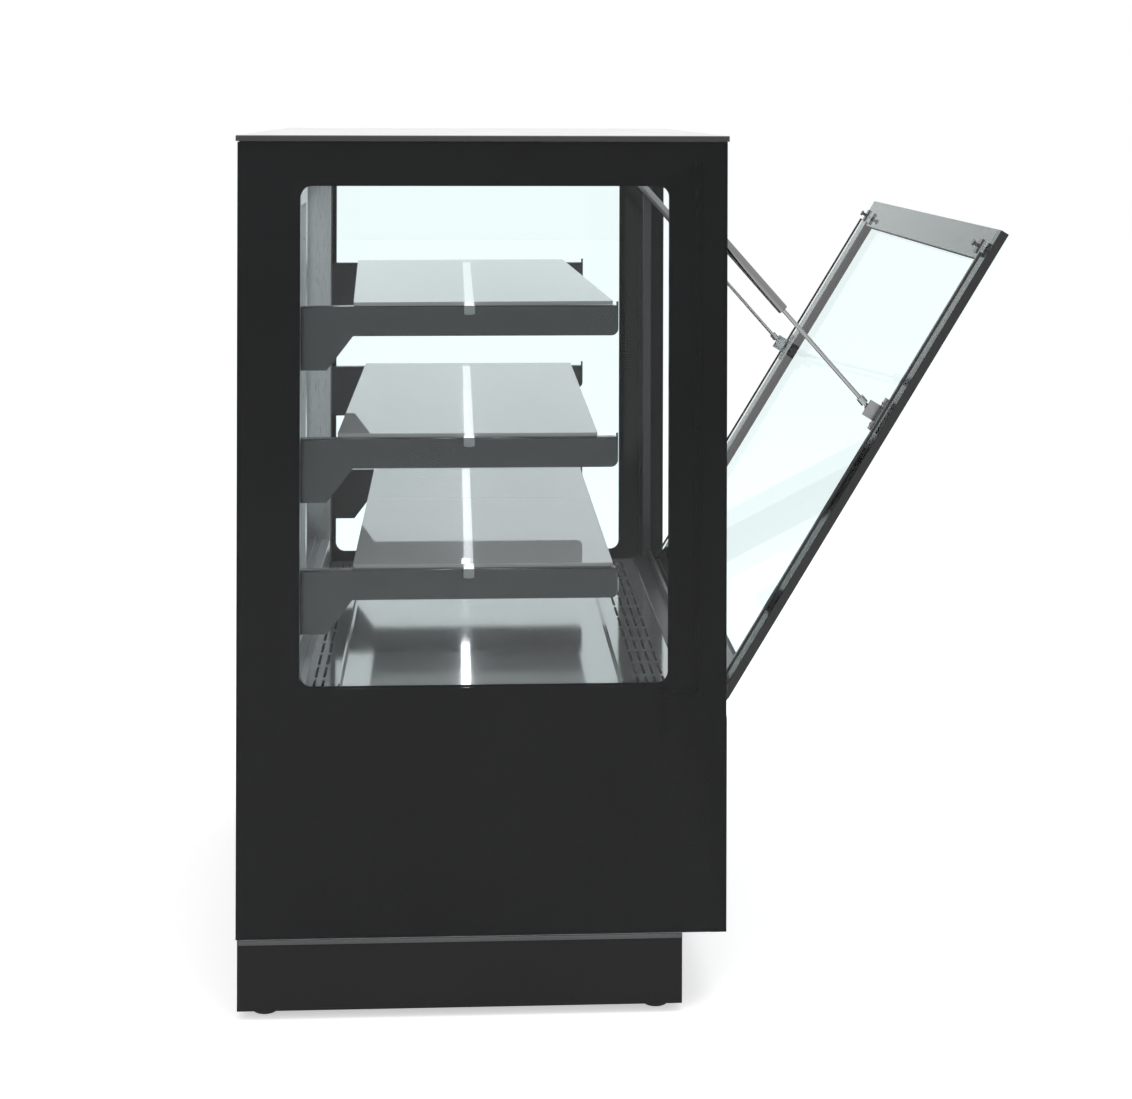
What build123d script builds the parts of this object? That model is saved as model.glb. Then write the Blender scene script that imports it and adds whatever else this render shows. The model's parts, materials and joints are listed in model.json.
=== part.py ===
from build123d import *

import math
import os

# Refrigerated display case with glass sides, three lit shelves and a front glass
# that tilts forward on hinges at its foot, held open by two gas struts.
# Millimetres, +Z up, the front faces -Y. The origin lies on the floor below the
# centre of the case's outer box with the front glass open, as it stands at rest.
# Depths below are measured forward from the back edge of the side panels.

# Overall size
case_width = 900.0
case_depth = 670.0
case_height = 1200.0

# Clearances
fit_gap = 0.3
running_clearance = 0.05

# Top slab
top_thickness = 8.0
top_overhang = 1.5
top_corner_radius = 4.0
edge_polish = 1.0

# Side panels, each a sealed pair of panes with a black print round the window
panel_bottom = 108.0
outer_pane = 6.0
inner_pane = 4.0
pane_cavity = 14.0
print_thickness = 0.5
print_inset = 1.0
window_back = 86.0
window_front = 589.4
window_low = 448.0
window_high = 1131.0
window_radius = 15.5
inner_pane_back = 78.0
inner_pane_front = 632.0
spacer_width = 8.0

# Roof
roof_thickness = 22.0
roof_lip = 10.5
roof_lip_depth = 24.0

# Feet, plinth and base rail
foot_radius = 18.25
foot_visible = 12.0
foot_round = 4.0
foot_stud_radius = 5.0
foot_stud_length = 40.0
foot_nut_radius = 9.0
foot_nut_height = 6.0
foot_back_depth = 39.0
foot_front_inset = 34.0
foot_side_inset = 34.0
plinth_back = 3.0
plinth_front = 609.0
plinth_side_inset = 6.0
plinth_sheet = 2.0
plinth_flange = 66.0
base_rail_height = 6.0
base_rail_width = 24.0
base_rail_side_inset = 4.0

# Chassis and insulated tub
chassis_sheet = 1.7
ledge_width = 16.0
ledge_height = 4.0
tub_low = 300.0
deck_support = 432.0
tub_floor = 28.0
tub_side_wall = 29.0
tub_back_wall = 87.5
tub_front_wall = 38.0
beam_thickness = 4.0
beam_height = 100.0

# Deck, grilles and sill
deck_top = 440.0
deck_sheet = 1.5
deck_back = 137.0
deck_front = 530.0
deck_ridge_height = 10.0
deck_ridge_width = 3.0
grille_sheet = 2.0
grille_slot_width = 4.0
grille_slot_length = 58.0
grille_slot_pitch = 68.0
grille_slot_margin = 12.0
grille_row_pitch = 12.0
sill_back = 614.0
sill_height = 5.0
sill_upstand = 13.0
stop_depth = 12.0
stop_thickness = 15.2

# Front glass
front_glass_open_deg = 31.4
front_glass_thickness = 22.0
front_pane = 5.0
front_glass_side_gap = 3.0
hinge_height = 417.7
front_glass_above_hinge = 760.8
front_glass_below_hinge = 7.7
hinge_rail_height = 22.0
front_border_header = 48.0
front_border_side = 48.0
front_border_foot = 60.0
front_spacer_inset = 6.0
front_spacer_width = 10.0
seal_width = 6.0
seal_height = 2.5
seal_side_inset = 8.0
seal_top_inset = 40.0

# Front glass hinges
hinge_pin_radius = 4.0
hinge_pin_length = 34.0
hinge_lug_radius = 10.0
hinge_lug_width = 22.0
hinge_stem_height = 12.0
hinge_to_beam = 15.0

# Gas struts
strut_inset = 45.0
strut_top_depth = 575.0
strut_top_drop = 12.0
strut_foot_along = 454.6
strut_foot_offset = 25.4
strut_tube_radius = 7.5
strut_bore_radius = 6.0
strut_tube_start = 15.0
strut_tube_end = 268.0
strut_cap = 8.0
strut_rod_radius = 3.0
strut_piston_length = 14.0
strut_eye_radius = 7.5
strut_eye_width = 5.0
strut_neck_radius = 4.0
strut_stud_radius = 4.0
strut_stud_head = 1.5
strut_stud_head_radius = 6.0
strut_end_radius = 5.75
strut_end_length = 22.0
strut_lug_thickness = 3.0
strut_lug_half_width = 12.0
strut_plate_half_height = 25.0
strut_plate_thickness = 3.0

# Front glass latches
latch_inset = 48.0
latch_drop = 32.0
latch_length = 22.0
latch_width = 14.0
latch_base = 3.0
latch_knob_radius = 4.5
latch_knob_height = 12.0
latch_arm_width = 5.0

# Rear frame and sliding doors
rear_frame_back = 3.0
rear_stile = 51.0
rear_rail_low = 46.0
rear_rail_high = 46.0
rear_track_thickness = 3.0
rear_rib_width = 3.0
rear_rib_height = 6.0
rear_groove_width = 5.0
rear_groove_depth = 5.0
rear_door_thickness = 20.0
rear_door_border = 30.0
rear_door_glass = 12.0
rear_door_overlap = 24.0
rear_door_side_gap = 2.0
rear_track_outer_depth = 24.0
rear_track_inner_depth = 54.0
finger_pull_width = 12.0
finger_pull_height = 120.0
finger_pull_depth = 7.0

# Shelf uprights, brackets and glass
upright_inset = 43.0
upright_width = 12.0
upright_depth = 9.7
upright_reach = 2.3
upright_low = 446.0
upright_high = 1150.0
upright_slot_width = 4.0
upright_slot_height = 20.0
upright_slot_pitch = 32.0
shelf_heights = (964.0, 782.0, 601.0)
shelf_names = ("top", "middle", "bottom")
shelf_back_depths = (141.0, 137.0, 156.0)
shelf_skews_deg = (2.2, -0.4, 0.0)
shelf_glass_depth = 360.0
shelf_glass_width = 792.0
shelf_glass_thickness = 5.0
shelf_glass_corner = 4.0
bracket_thickness = 3.0
bracket_flange_width = 14.0
bracket_flange_thickness = 3.0
bracket_front = 519.0
bracket_height = 41.0
bracket_corner = 10.0
bracket_bend_radius = 2.5
bracket_tip_length = 3.0
bracket_tip_height = 6.0
gusset_height = 88.0
gusset_foot_depth = 120.0
gusset_end_depth = 156.0

# Lamps
shelf_lamp_depth = 316.0
lamp_width = 13.4
lamp_height = 8.0
lamp_wall = 1.2
lens_height = 2.0
lamp_notch = 14.0
lamp_end_reach = 5.0
roof_lamp_front_depth = 584.0
roof_lamp_back_depth = 106.0
roof_lamp_length = 770.0

# Evaporator
evaporator_length = 620.0
evaporator_back = 190.0
evaporator_depth = 100.0
evaporator_low = 336.0
evaporator_high = 400.0
fin_pitch = 20.0
fin_thickness = 1.0
coil_tube_radius = 5.0
coil_tube_pitch = 25.0
coil_tube_reach = 8.0
coil_plate_gap = 2.0
coil_rows = 3
evaporator_fan_gap = 60.0
fan_frame_thickness = 3.0
evaporator_fan_radius = 40.0
evaporator_fan_height = 380.0
fan_tip_gap = 3.0
fan_hub_radius = 14.0
fan_hub_length = 14.0
fan_blade_count = 5
fan_blade_thickness = 1.6
fan_blade_pitch_deg = 30.0
fan_blade_root_half = 4.0
fan_blade_tip_half = 11.0
fan_blade_tip_clearance = 4.0
fan_blade_corner = 5.0
fan_shaft_radius = 2.5
fan_motor_radius = 20.0
fan_motor_length = 34.0
fan_stay_width = 8.0
fan_stay_thickness = 3.0

# Compressor, condenser and pipes
compressor_x = 210.0
compressor_depth = 330.0
compressor_radius = 68.0
compressor_height = 150.0
compressor_dome = 30.0
compressor_seam = 4.0
compressor_plate_half = 85.0
compressor_plate_thickness = 3.0
grommet_radius = 11.0
grommet_height = 10.0
condenser_x = -190.0
condenser_length = 240.0
condenser_back = 40.0
condenser_depth = 56.0
condenser_low = 116.0
condenser_height = 170.0
condenser_rows = 6
condenser_fan_radius = 76.0
condenser_fan_gap = 16.0
condenser_motor_radius = 34.0
condenser_motor_length = 51.0
pipe_radius = 4.0
pipe_bend = 14.0
drier_offset = 60.0
drier_depth = 250.0
suction_offset = 30.0
liquid_offset = 40.0
liquid_side_offset = 28.0
discharge_offset = 90.0
drier_radius = 11.0
drier_length = 90.0
drain_tray_x = -200.0
drain_tray_depth = 420.0
drain_tray_length = 260.0
drain_tray_width = 200.0
drain_tray_height = 40.0
drain_tray_wall = 2.0
drain_pipe_radius = 9.0
drain_pipe_drop = 150.0

# Front and rear lower panels
front_panel_top = 403.0
front_panel_sheet = 1.5
front_panel_back = 646.0
rear_panel_depth = 4.0
rear_panel_sheet = 1.5
rear_panel_gap = 4.0
louvre_count = 12
louvre_pitch = 14.0
louvre_height = 5.0
louvre_length = 160.0
louvre_low = 130.0

# Controls on the rear panel
control_inset = 65.0
control_height = 262.0
controller_width = 84.0
controller_height = 35.0
bezel_proud = 2.6
bezel_flange = 5.0
controller_body_depth = 56.0
button_radius = 4.5
button_travel = 1.2
button_proud = 1.0
button_skirt = 3.0
button_pitch = 11.0
button_lead = 6.6
button_names = ("set", "down", "up")
rocker_width = 12.0
rocker_height = 20.0
rocker_depth = 11.0
rocker_housing_width = 18.0
rocker_housing_height = 26.0
rocker_travel_deg = 8.0
rocker_pitch = 30.0
rocker_centre = 70.0
rocker_end_gap = 0.8
rocker_opening_gap = 2.0
rocker_pin_setback = 2.0
rocker_proud = 0.4
rocker_taper = 3.0
rocker_wall = 1.5
rocker_floor = 3.0
rocker_pin_radius = 1.5
rocker_pin_length = 1.5
inlet_x = -330.0
inlet_height = 160.0
inlet_width = 50.0
inlet_flange_height = 24.0
inlet_opening_width = 24.0
inlet_opening_height = 16.0
inlet_depth = 26.0
inlet_wall = 2.0
inlet_pin_width = 2.0
inlet_pin_height = 4.0
inlet_pin_length = 16.0
inlet_pin_pitch = 7.0

# Derived places
half_width = case_width / 2
panel_top = case_height - top_thickness
pane_inner_face = half_width - outer_pane
outer_print_face = pane_inner_face - print_thickness
inner_pane_outer_face = pane_inner_face - pane_cavity
inner_print_face = inner_pane_outer_face + print_thickness
cabin_half = inner_pane_outer_face - inner_pane
body_half = outer_print_face - fit_gap
cabin_top = panel_top - roof_thickness
strut_top_height = cabin_top - strut_top_drop
control_x = half_width - control_inset
cabin_fit_half = cabin_half - fit_gap
hinge_depth = case_depth - front_glass_thickness / 2
half_glass = front_glass_thickness / 2
front_glass_half = pane_inner_face - front_glass_side_gap
open_angle = math.radians(front_glass_open_deg)
tip_depth = hinge_depth + front_glass_above_hinge * math.sin(open_angle) + half_glass * math.cos(open_angle)
y_back = (tip_depth - top_overhang) / 2
sides = ((-1, "left"), (1, "right"))


def at_depth(depth):
    """Turns a depth from the back edge into a Y coordinate."""
    return y_back - depth


def spread(side, inner, outer):
    """A span of X between two distances from the middle, on one side."""
    return tuple(sorted((side * inner, side * outer)))


def fill(x_span, depth_span, z_span, mode=Mode.ADD):
    """Adds or cuts a straight block given by its spans."""
    with BuildSketch(Plane.XY.offset(z_span[0])) as outline:
        with Locations(((x_span[0] + x_span[1]) / 2, at_depth((depth_span[0] + depth_span[1]) / 2))):
            Rectangle(x_span[1] - x_span[0], depth_span[1] - depth_span[0])
    extrude(outline.sketch, amount=z_span[1] - z_span[0], mode=mode)


def fill_side(x_span, depth_span, z_span, radius, mode=Mode.ADD):
    """Adds or cuts an upright sheet across X with rounded corners."""
    with BuildSketch(Plane.YZ.offset(x_span[0])) as outline:
        with Locations((at_depth((depth_span[0] + depth_span[1]) / 2), (z_span[0] + z_span[1]) / 2)):
            RectangleRounded(depth_span[1] - depth_span[0], z_span[1] - z_span[0], radius)
    extrude(outline.sketch, amount=x_span[1] - x_span[0], mode=mode)


def turn(plane, radius, length, mode=Mode.ADD):
    """Adds or cuts a round bar that stands on a plane."""
    with BuildSketch(plane) as outline:
        Circle(radius)
    extrude(outline.sketch, amount=length, mode=mode)


def depth_plane(x, depth, z):
    """A plane facing the front, with its own x along +X."""
    return Plane(origin=(x, at_depth(depth), z), x_dir=(1, 0, 0), z_dir=(0, -1, 0))


def hand_over(builder, name):
    """Labels a finished piece and writes it."""
    builder.part.label = name
    export_step(builder.part, f"parts/{name}.step")


os.makedirs("parts", exist_ok=True)

# Top slab

with BuildPart() as top_glass:
    with BuildSketch(Plane.XY.offset(panel_top)):
        with Locations((0, at_depth(case_depth / 2))):
            RectangleRounded(case_width, case_depth + 2 * top_overhang, top_corner_radius)
    extrude(amount=top_thickness)
    chamfer(top_glass.faces().sort_by(Axis.Z)[-1].edges(), edge_polish)
hand_over(top_glass, "top_glass")

# Insulated roof with a lip that covers the top of the front glass

roof_front = hinge_depth - half_glass - front_glass_side_gap
roof_lip_front = roof_front + roof_lip_depth
with BuildPart() as roof_panel:
    fill((-body_half, body_half), (rear_frame_back, roof_front), (cabin_top, panel_top))
    fill((-body_half, body_half), (roof_front, roof_lip_front), (panel_top - roof_lip, panel_top))
hand_over(roof_panel, "roof_panel")

# Side panels

with BuildPart() as side_glass_outer:
    for side, word in sides:
        fill(spread(side, pane_inner_face, half_width), (0, case_depth), (panel_bottom, panel_top))
    chamfer(side_glass_outer.edges().filter_by(Axis.Z), edge_polish)
hand_over(side_glass_outer, "side_glass_outer")

with BuildPart() as side_glass_inner:
    for side, word in sides:
        fill(
            spread(side, cabin_half, inner_pane_outer_face),
            (inner_pane_back, inner_pane_front),
            (deck_support, cabin_top),
        )
hand_over(side_glass_inner, "side_glass_inner")

with BuildPart() as side_borders:
    for side, word in sides:
        fill(
            spread(side, outer_print_face, pane_inner_face),
            (print_inset, case_depth - print_inset),
            (panel_bottom + print_inset, panel_top - print_inset),
        )
        fill(
            spread(side, inner_pane_outer_face, inner_print_face),
            (inner_pane_back + print_inset, inner_pane_front - print_inset),
            (deck_support + print_inset, cabin_top - print_inset),
        )
        fill_side(
            spread(side, inner_pane_outer_face, pane_inner_face),
            (window_back, window_front),
            (window_low, window_high),
            window_radius,
            Mode.SUBTRACT,
        )
hand_over(side_borders, "side_borders")

with BuildPart() as side_spacers:
    for side, word in sides:
        fill(
            spread(side, inner_print_face, outer_print_face),
            (inner_pane_back, inner_pane_front),
            (deck_support, cabin_top),
        )
        fill(
            spread(side, inner_print_face, outer_print_face),
            (inner_pane_back + spacer_width, inner_pane_front - spacer_width),
            (deck_support + spacer_width, cabin_top - spacer_width),
            Mode.SUBTRACT,
        )
hand_over(side_spacers, "side_spacers")

# Plinth, base rail and feet

plinth_half = half_width - plinth_side_inset
plinth_top = panel_bottom - base_rail_height
foot_half = plinth_half - foot_side_inset
foot_depths = (foot_back_depth, plinth_front - foot_front_inset)
foot_places = [(side * foot_half, at_depth(depth)) for side, word in sides for depth in foot_depths]

with BuildPart() as plinth:
    fill((-plinth_half, plinth_half), (plinth_back, plinth_front), (foot_visible, plinth_top))
    fill(
        (plinth_sheet - plinth_half, plinth_half - plinth_sheet),
        (plinth_back + plinth_sheet, plinth_front - plinth_sheet),
        (foot_visible + plinth_sheet, plinth_top),
        Mode.SUBTRACT,
    )
    fill(
        (plinth_flange - plinth_half, plinth_half - plinth_flange),
        (plinth_back + plinth_flange, plinth_front - plinth_flange),
        (foot_visible, foot_visible + plinth_sheet),
        Mode.SUBTRACT,
    )
    with BuildSketch(Plane.XY.offset(foot_visible)) as stud_holes:
        with Locations(foot_places):
            Circle(foot_stud_radius + fit_gap)
    extrude(stud_holes.sketch, amount=plinth_sheet, mode=Mode.SUBTRACT)
hand_over(plinth, "plinth")

rail_half = half_width - base_rail_side_inset
with BuildPart() as base_rail:
    fill((-rail_half, rail_half), (plinth_back, plinth_front), (plinth_top, panel_bottom))
    fill(
        (base_rail_width - rail_half, rail_half - base_rail_width),
        (plinth_back + base_rail_width, plinth_front - base_rail_width),
        (plinth_top, panel_bottom),
        Mode.SUBTRACT,
    )
hand_over(base_rail, "base_rail")

with BuildPart() as feet:
    for place_x, place_y in foot_places:
        with BuildSketch(Plane(origin=(place_x, place_y, 0), x_dir=(1, 0, 0), z_dir=(0, -1, 0))) as profile:
            with BuildLine():
                Polyline((0, 0), (foot_radius - foot_round, 0))
                RadiusArc(
                    (foot_radius - foot_round, 0),
                    (foot_radius, foot_round),
                    -foot_round,
                )
                Polyline(
                    (foot_radius, foot_round),
                    (foot_radius, foot_visible),
                    (foot_stud_radius, foot_visible),
                    (foot_stud_radius, foot_visible + plinth_sheet),
                    (foot_nut_radius, foot_visible + plinth_sheet),
                    (foot_nut_radius, foot_visible + plinth_sheet + foot_nut_height),
                    (foot_stud_radius, foot_visible + plinth_sheet + foot_nut_height),
                    (foot_stud_radius, foot_stud_length),
                    (0, foot_stud_length),
                    (0, 0),
                )
            make_face()
        revolve(profile.sketch, Axis((place_x, place_y, 0), (0, 0, 1)))
hand_over(feet, "feet")

# Chassis, a folded tray with a cross beam that carries the front hinges

tray_back = rear_panel_depth + rear_panel_sheet + fit_gap
beam_front = hinge_depth - hinge_to_beam
beam_back = beam_front - beam_thickness
floor_top = panel_bottom + chassis_sheet
tub_half = body_half - chassis_sheet - fit_gap
with BuildPart() as chassis:
    fill((-body_half, body_half), (tray_back, beam_front), (panel_bottom, deck_support))
    fill(
        (chassis_sheet - body_half, body_half - chassis_sheet),
        (tray_back, beam_back),
        (floor_top, deck_support),
        Mode.SUBTRACT,
    )
    fill(
        (chassis_sheet - body_half, body_half - chassis_sheet),
        (beam_back, beam_front),
        (floor_top, deck_support - beam_height),
        Mode.SUBTRACT,
    )
    for side, word in sides:
        fill(
            spread(side, body_half - chassis_sheet - ledge_width, body_half - chassis_sheet),
            (tray_back, beam_back),
            (tub_low - ledge_height, tub_low),
        )
hand_over(chassis, "chassis")

# Insulated tub that holds the evaporator under the deck

tub_back = tray_back
tub_front = beam_back - fit_gap
cavity_back = tub_back + tub_back_wall
cavity_front = tub_front - tub_front_wall
cavity_half = tub_half - tub_side_wall
cavity_low = tub_low + tub_floor
coil_half = evaporator_length / 2
coil_front = evaporator_back + evaporator_depth
condenser_x_high = condenser_x + condenser_length / 2
suction_x = coil_half + coil_tube_reach + suction_offset
suction_depth = (evaporator_back + coil_front) / 2
drier_x = condenser_x_high + drier_offset
liquid_depth = coil_front + liquid_offset
with BuildPart() as insulated_tub:
    fill((-tub_half, tub_half), (tub_back, tub_front), (tub_low, deck_support))
    fill((-cavity_half, cavity_half), (cavity_back, cavity_front), (cavity_low, deck_support), Mode.SUBTRACT)
    for hole_x, hole_depth, hole_radius in (
        (suction_x, suction_depth, pipe_radius + fit_gap),
        (drier_x, liquid_depth, pipe_radius + fit_gap),
        (drain_tray_x, drain_tray_depth, drain_pipe_radius - drain_tray_wall),
    ):
        with BuildSketch(Plane.XY.offset(tub_low)) as hole:
            with Locations((hole_x, at_depth(hole_depth))):
                Circle(hole_radius)
        extrude(hole.sketch, amount=tub_floor, mode=Mode.SUBTRACT)
hand_over(insulated_tub, "insulated_tub")

# Deck tray with upstanding ridges, on side folds that stand on the tub

with BuildPart() as deck_tray:
    fill((-cabin_fit_half, cabin_fit_half), (deck_back, deck_front), (deck_top - deck_sheet, deck_top))
    for ridge_span in (
        (deck_back, deck_back + deck_ridge_width),
        (deck_front - deck_ridge_width, deck_front),
    ):
        fill((-cabin_fit_half, cabin_fit_half), ridge_span, (deck_top, deck_top + deck_ridge_height))
    for side, word in sides:
        fill(
            spread(side, cabin_fit_half - deck_ridge_width, cabin_fit_half),
            (deck_back, deck_front),
            (deck_support, deck_top - deck_sheet),
        )
hand_over(deck_tray, "deck_tray")

# Air grilles in the troughs behind and before the deck

rear_wall_depth = inner_pane_back - fit_gap
grille_spans = (
    (rear_wall_depth + fit_gap, deck_back - fit_gap),
    (deck_front + fit_gap, sill_back - fit_gap),
)
slot_count = int((2 * cabin_fit_half - 2 * grille_slot_margin) / grille_slot_pitch)
with BuildPart() as air_grilles:
    for span in grille_spans:
        fill((-cabin_fit_half, cabin_fit_half), span, (deck_support, deck_support + grille_sheet))
        row_count = int((span[1] - span[0] - 2 * grille_slot_margin) / grille_row_pitch)
        with BuildSketch(Plane.XY.offset(deck_support)) as slots:
            with Locations((0, at_depth((span[0] + span[1]) / 2))):
                with GridLocations(grille_slot_pitch, grille_row_pitch, slot_count, row_count):
                    SlotOverall(grille_slot_length, grille_slot_width)
        extrude(slots.sketch, amount=grille_sheet, mode=Mode.SUBTRACT)
hand_over(air_grilles, "air_grilles")

# Sill and side stops that the closed front glass seals against

stop_front = hinge_depth - half_glass - seal_height - fit_gap
with BuildPart() as door_frame:
    fill((-cabin_fit_half, cabin_fit_half), (sill_back, beam_front), (deck_support, deck_support + sill_height))
    fill(
        (-cabin_fit_half, cabin_fit_half),
        (beam_back, stop_front),
        (deck_support, deck_support + sill_height + sill_upstand),
    )
    for side, word in sides:
        fill(
            spread(side, body_half - stop_thickness, body_half),
            (inner_pane_front + fit_gap, stop_front),
            (deck_support, cabin_top),
        )
hand_over(door_frame, "door_frame")

# Rear frame with its tracks

opening_half = body_half - rear_stile
opening_low = deck_support + rear_rail_low
opening_high = cabin_top - rear_rail_high
upright_centre = half_width - upright_inset
upright_front = rear_wall_depth + upright_reach
upright_back = upright_front - upright_depth
with BuildPart() as rear_frame:
    fill((-body_half, body_half), (rear_frame_back, rear_wall_depth), (deck_support, cabin_top))
    fill((-opening_half, opening_half), (rear_frame_back, rear_wall_depth), (opening_low, opening_high), Mode.SUBTRACT)
    for side, word in sides:
        fill(
            spread(side, upright_centre - upright_width / 2 - fit_gap, upright_centre + upright_width / 2 + fit_gap),
            (upright_back, rear_wall_depth),
            (upright_low, upright_high),
            Mode.SUBTRACT,
        )
hand_over(rear_frame, "rear_frame")

track_depths = (rear_track_outer_depth, rear_track_inner_depth)
track_back = rear_track_outer_depth - rear_door_thickness / 2
track_front = rear_track_inner_depth + rear_door_thickness / 2
with BuildPart() as rear_tracks:
    fill((-opening_half, opening_half), (track_back, track_front), (opening_low, opening_low + rear_track_thickness))
    fill((-opening_half, opening_half), (track_back, track_front), (opening_high - rear_track_thickness, opening_high))
    for depth in track_depths:
        rib_span = (depth - rear_rib_width / 2, depth + rear_rib_width / 2)
        low_rib_top = opening_low + rear_track_thickness + rear_rib_height
        high_rib_bottom = opening_high - rear_track_thickness - rear_rib_height
        fill((-opening_half, opening_half), rib_span, (opening_low + rear_track_thickness, low_rib_top))
        fill((-opening_half, opening_half), rib_span, (high_rib_bottom, opening_high - rear_track_thickness))
hand_over(rear_tracks, "rear_tracks")

# Rear sliding doors, each a frame with finger pulls round a sealed pane

door_low = low_rib_top + fit_gap - rear_groove_depth
door_high = high_rib_bottom - fit_gap + rear_groove_depth
door_spans = {
    "left": (rear_door_side_gap - opening_half, rear_door_overlap / 2),
    "right": (-rear_door_overlap / 2, opening_half - rear_door_side_gap),
}
door_depths = {"left": rear_track_inner_depth, "right": rear_track_outer_depth}
for word in ("left", "right"):
    door_x = door_spans[word]
    door_depth = door_depths[word]
    door_span = (door_depth - rear_door_thickness / 2, door_depth + rear_door_thickness / 2)
    pane_x = (door_x[0] + rear_door_border, door_x[1] - rear_door_border)
    pane_z = (door_low + rear_door_border, door_high - rear_door_border)
    groove_span = (door_depth - rear_groove_width / 2, door_depth + rear_groove_width / 2)
    pull_x = (door_x[0] if word == "left" else door_x[1] - rear_door_border) + rear_door_border / 2
    pull_z = (door_low + door_high) / 2
    with BuildPart() as rear_door_frame:
        fill(door_x, door_span, (door_low, door_high))
        fill(pane_x, door_span, pane_z, Mode.SUBTRACT)
        fill(door_x, groove_span, (door_low, door_low + rear_groove_depth), Mode.SUBTRACT)
        fill(door_x, groove_span, (door_high - rear_groove_depth, door_high), Mode.SUBTRACT)
        with BuildSketch(depth_plane(pull_x, door_span[0], pull_z)) as pull:
            SlotOverall(finger_pull_height, finger_pull_width, rotation=90)
        extrude(pull.sketch, amount=finger_pull_depth, mode=Mode.SUBTRACT)
    hand_over(rear_door_frame, f"rear_door_frame_{word}")
    with BuildPart() as rear_door_pane:
        fill(pane_x, (door_depth - rear_door_glass / 2, door_depth + rear_door_glass / 2), pane_z)
    hand_over(rear_door_pane, f"rear_door_glass_{word}")

# Slotted uprights

slot_total = int((upright_high - upright_low) / upright_slot_pitch)
with BuildPart() as shelf_uprights:
    for side, word in sides:
        upright_middle = (upright_low + upright_high) / 2
        with BuildSketch(depth_plane(side * upright_centre, upright_back, upright_middle)) as face:
            Rectangle(upright_width, upright_high - upright_low)
            with GridLocations(1, upright_slot_pitch, 1, slot_total):
                Rectangle(upright_slot_width, upright_slot_height, mode=Mode.SUBTRACT)
        extrude(face.sketch, amount=upright_depth)
hand_over(shelf_uprights, "shelf_uprights")

# Shelf brackets, one pair for each shelf

plate_low = upright_centre - bracket_thickness / 2
notch_span = (shelf_lamp_depth - lamp_notch / 2, shelf_lamp_depth + lamp_notch / 2)
lamp_stack = lamp_height + lens_height
with BuildPart() as shelf_brackets:
    for shelf_height in shelf_heights:
        for side, word in sides:
            plate_x = spread(side, plate_low, plate_low + bracket_thickness)
            with BuildSketch(Plane.YZ.offset(plate_x[0])) as profile:
                with BuildLine():
                    Polyline(
                        (at_depth(upright_front), shelf_height),
                        (at_depth(bracket_front), shelf_height),
                        (at_depth(bracket_front), shelf_height + bracket_tip_height),
                        (at_depth(bracket_front + bracket_tip_length), shelf_height + bracket_tip_height),
                        (at_depth(bracket_front + bracket_tip_length), shelf_height - bracket_height),
                        (at_depth(gusset_end_depth), shelf_height - bracket_height),
                        (at_depth(gusset_foot_depth), shelf_height - gusset_height),
                        (at_depth(upright_front), shelf_height - gusset_height),
                        (at_depth(upright_front), shelf_height),
                    )
                make_face()
                lower_front = profile.vertices().sort_by(Axis.X)[:2].sort_by(Axis.Y)[0]
                fillet(lower_front, bracket_corner)
            extrude(profile.sketch, amount=bracket_thickness)
            fill(
                spread(side, plate_low - bracket_flange_width, plate_low),
                (upright_front, bracket_front),
                (shelf_height - bracket_flange_thickness, shelf_height),
            )
            bend_x = spread(side, plate_low + bracket_thickness - fit_gap, plate_low + bracket_thickness + fit_gap)
            upper_edges = shelf_brackets.edges().filter_by(Axis.Y)
            upper_edges = upper_edges.filter_by_position(Axis.Z, shelf_height - fit_gap, shelf_height + fit_gap)
            fillet(upper_edges.filter_by_position(Axis.X, *bend_x), bracket_bend_radius)
            fill(
                spread(side, plate_low - bracket_flange_width, plate_low + bracket_thickness),
                notch_span,
                (shelf_height - lamp_stack, shelf_height),
                Mode.SUBTRACT,
            )
hand_over(shelf_brackets, "shelf_brackets")

# Shelf glass, loose on the brackets

for shelf_name, shelf_height, shelf_back, skew in zip(
    shelf_names, shelf_heights, shelf_back_depths, shelf_skews_deg
):
    glass_plane = Plane(
        origin=(0, at_depth(shelf_back + shelf_glass_depth / 2), shelf_height),
        x_dir=(math.cos(math.radians(skew)), math.sin(math.radians(skew)), 0),
        z_dir=(0, 0, 1),
    )
    with BuildPart() as shelf_glass:
        with BuildSketch(glass_plane):
            RectangleRounded(shelf_glass_width, shelf_glass_depth, shelf_glass_corner)
        extrude(amount=shelf_glass_thickness)
    hand_over(shelf_glass, f"shelf_glass_{shelf_name}")

# Lamps, a channel with a lens below it

shelf_lamp_half = plate_low + bracket_thickness + lamp_end_reach
lamps = [(shelf_lamp_half, shelf_lamp_depth, shelf_height) for shelf_height in shelf_heights]
lamps += [(roof_lamp_length / 2, depth, cabin_top) for depth in (roof_lamp_front_depth, roof_lamp_back_depth)]
with BuildPart() as lamp_housings:
    for lamp_half, depth, lamp_top in lamps:
        lamp_span = (depth - lamp_width / 2, depth + lamp_width / 2)
        fill((-lamp_half, lamp_half), lamp_span, (lamp_top - lamp_height, lamp_top))
        fill(
            (lamp_wall - lamp_half, lamp_half - lamp_wall),
            (lamp_span[0] + lamp_wall, lamp_span[1] - lamp_wall),
            (lamp_top - lamp_height, lamp_top - lamp_wall),
            Mode.SUBTRACT,
        )
hand_over(lamp_housings, "lamp_housings")

with BuildPart() as lamp_lenses:
    for lamp_half, depth, lamp_top in lamps:
        fill(
            (-lamp_half, lamp_half),
            (depth - lamp_width / 2, depth + lamp_width / 2),
            (lamp_top - lamp_stack, lamp_top - lamp_height),
        )
hand_over(lamp_lenses, "lamp_lenses")


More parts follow.
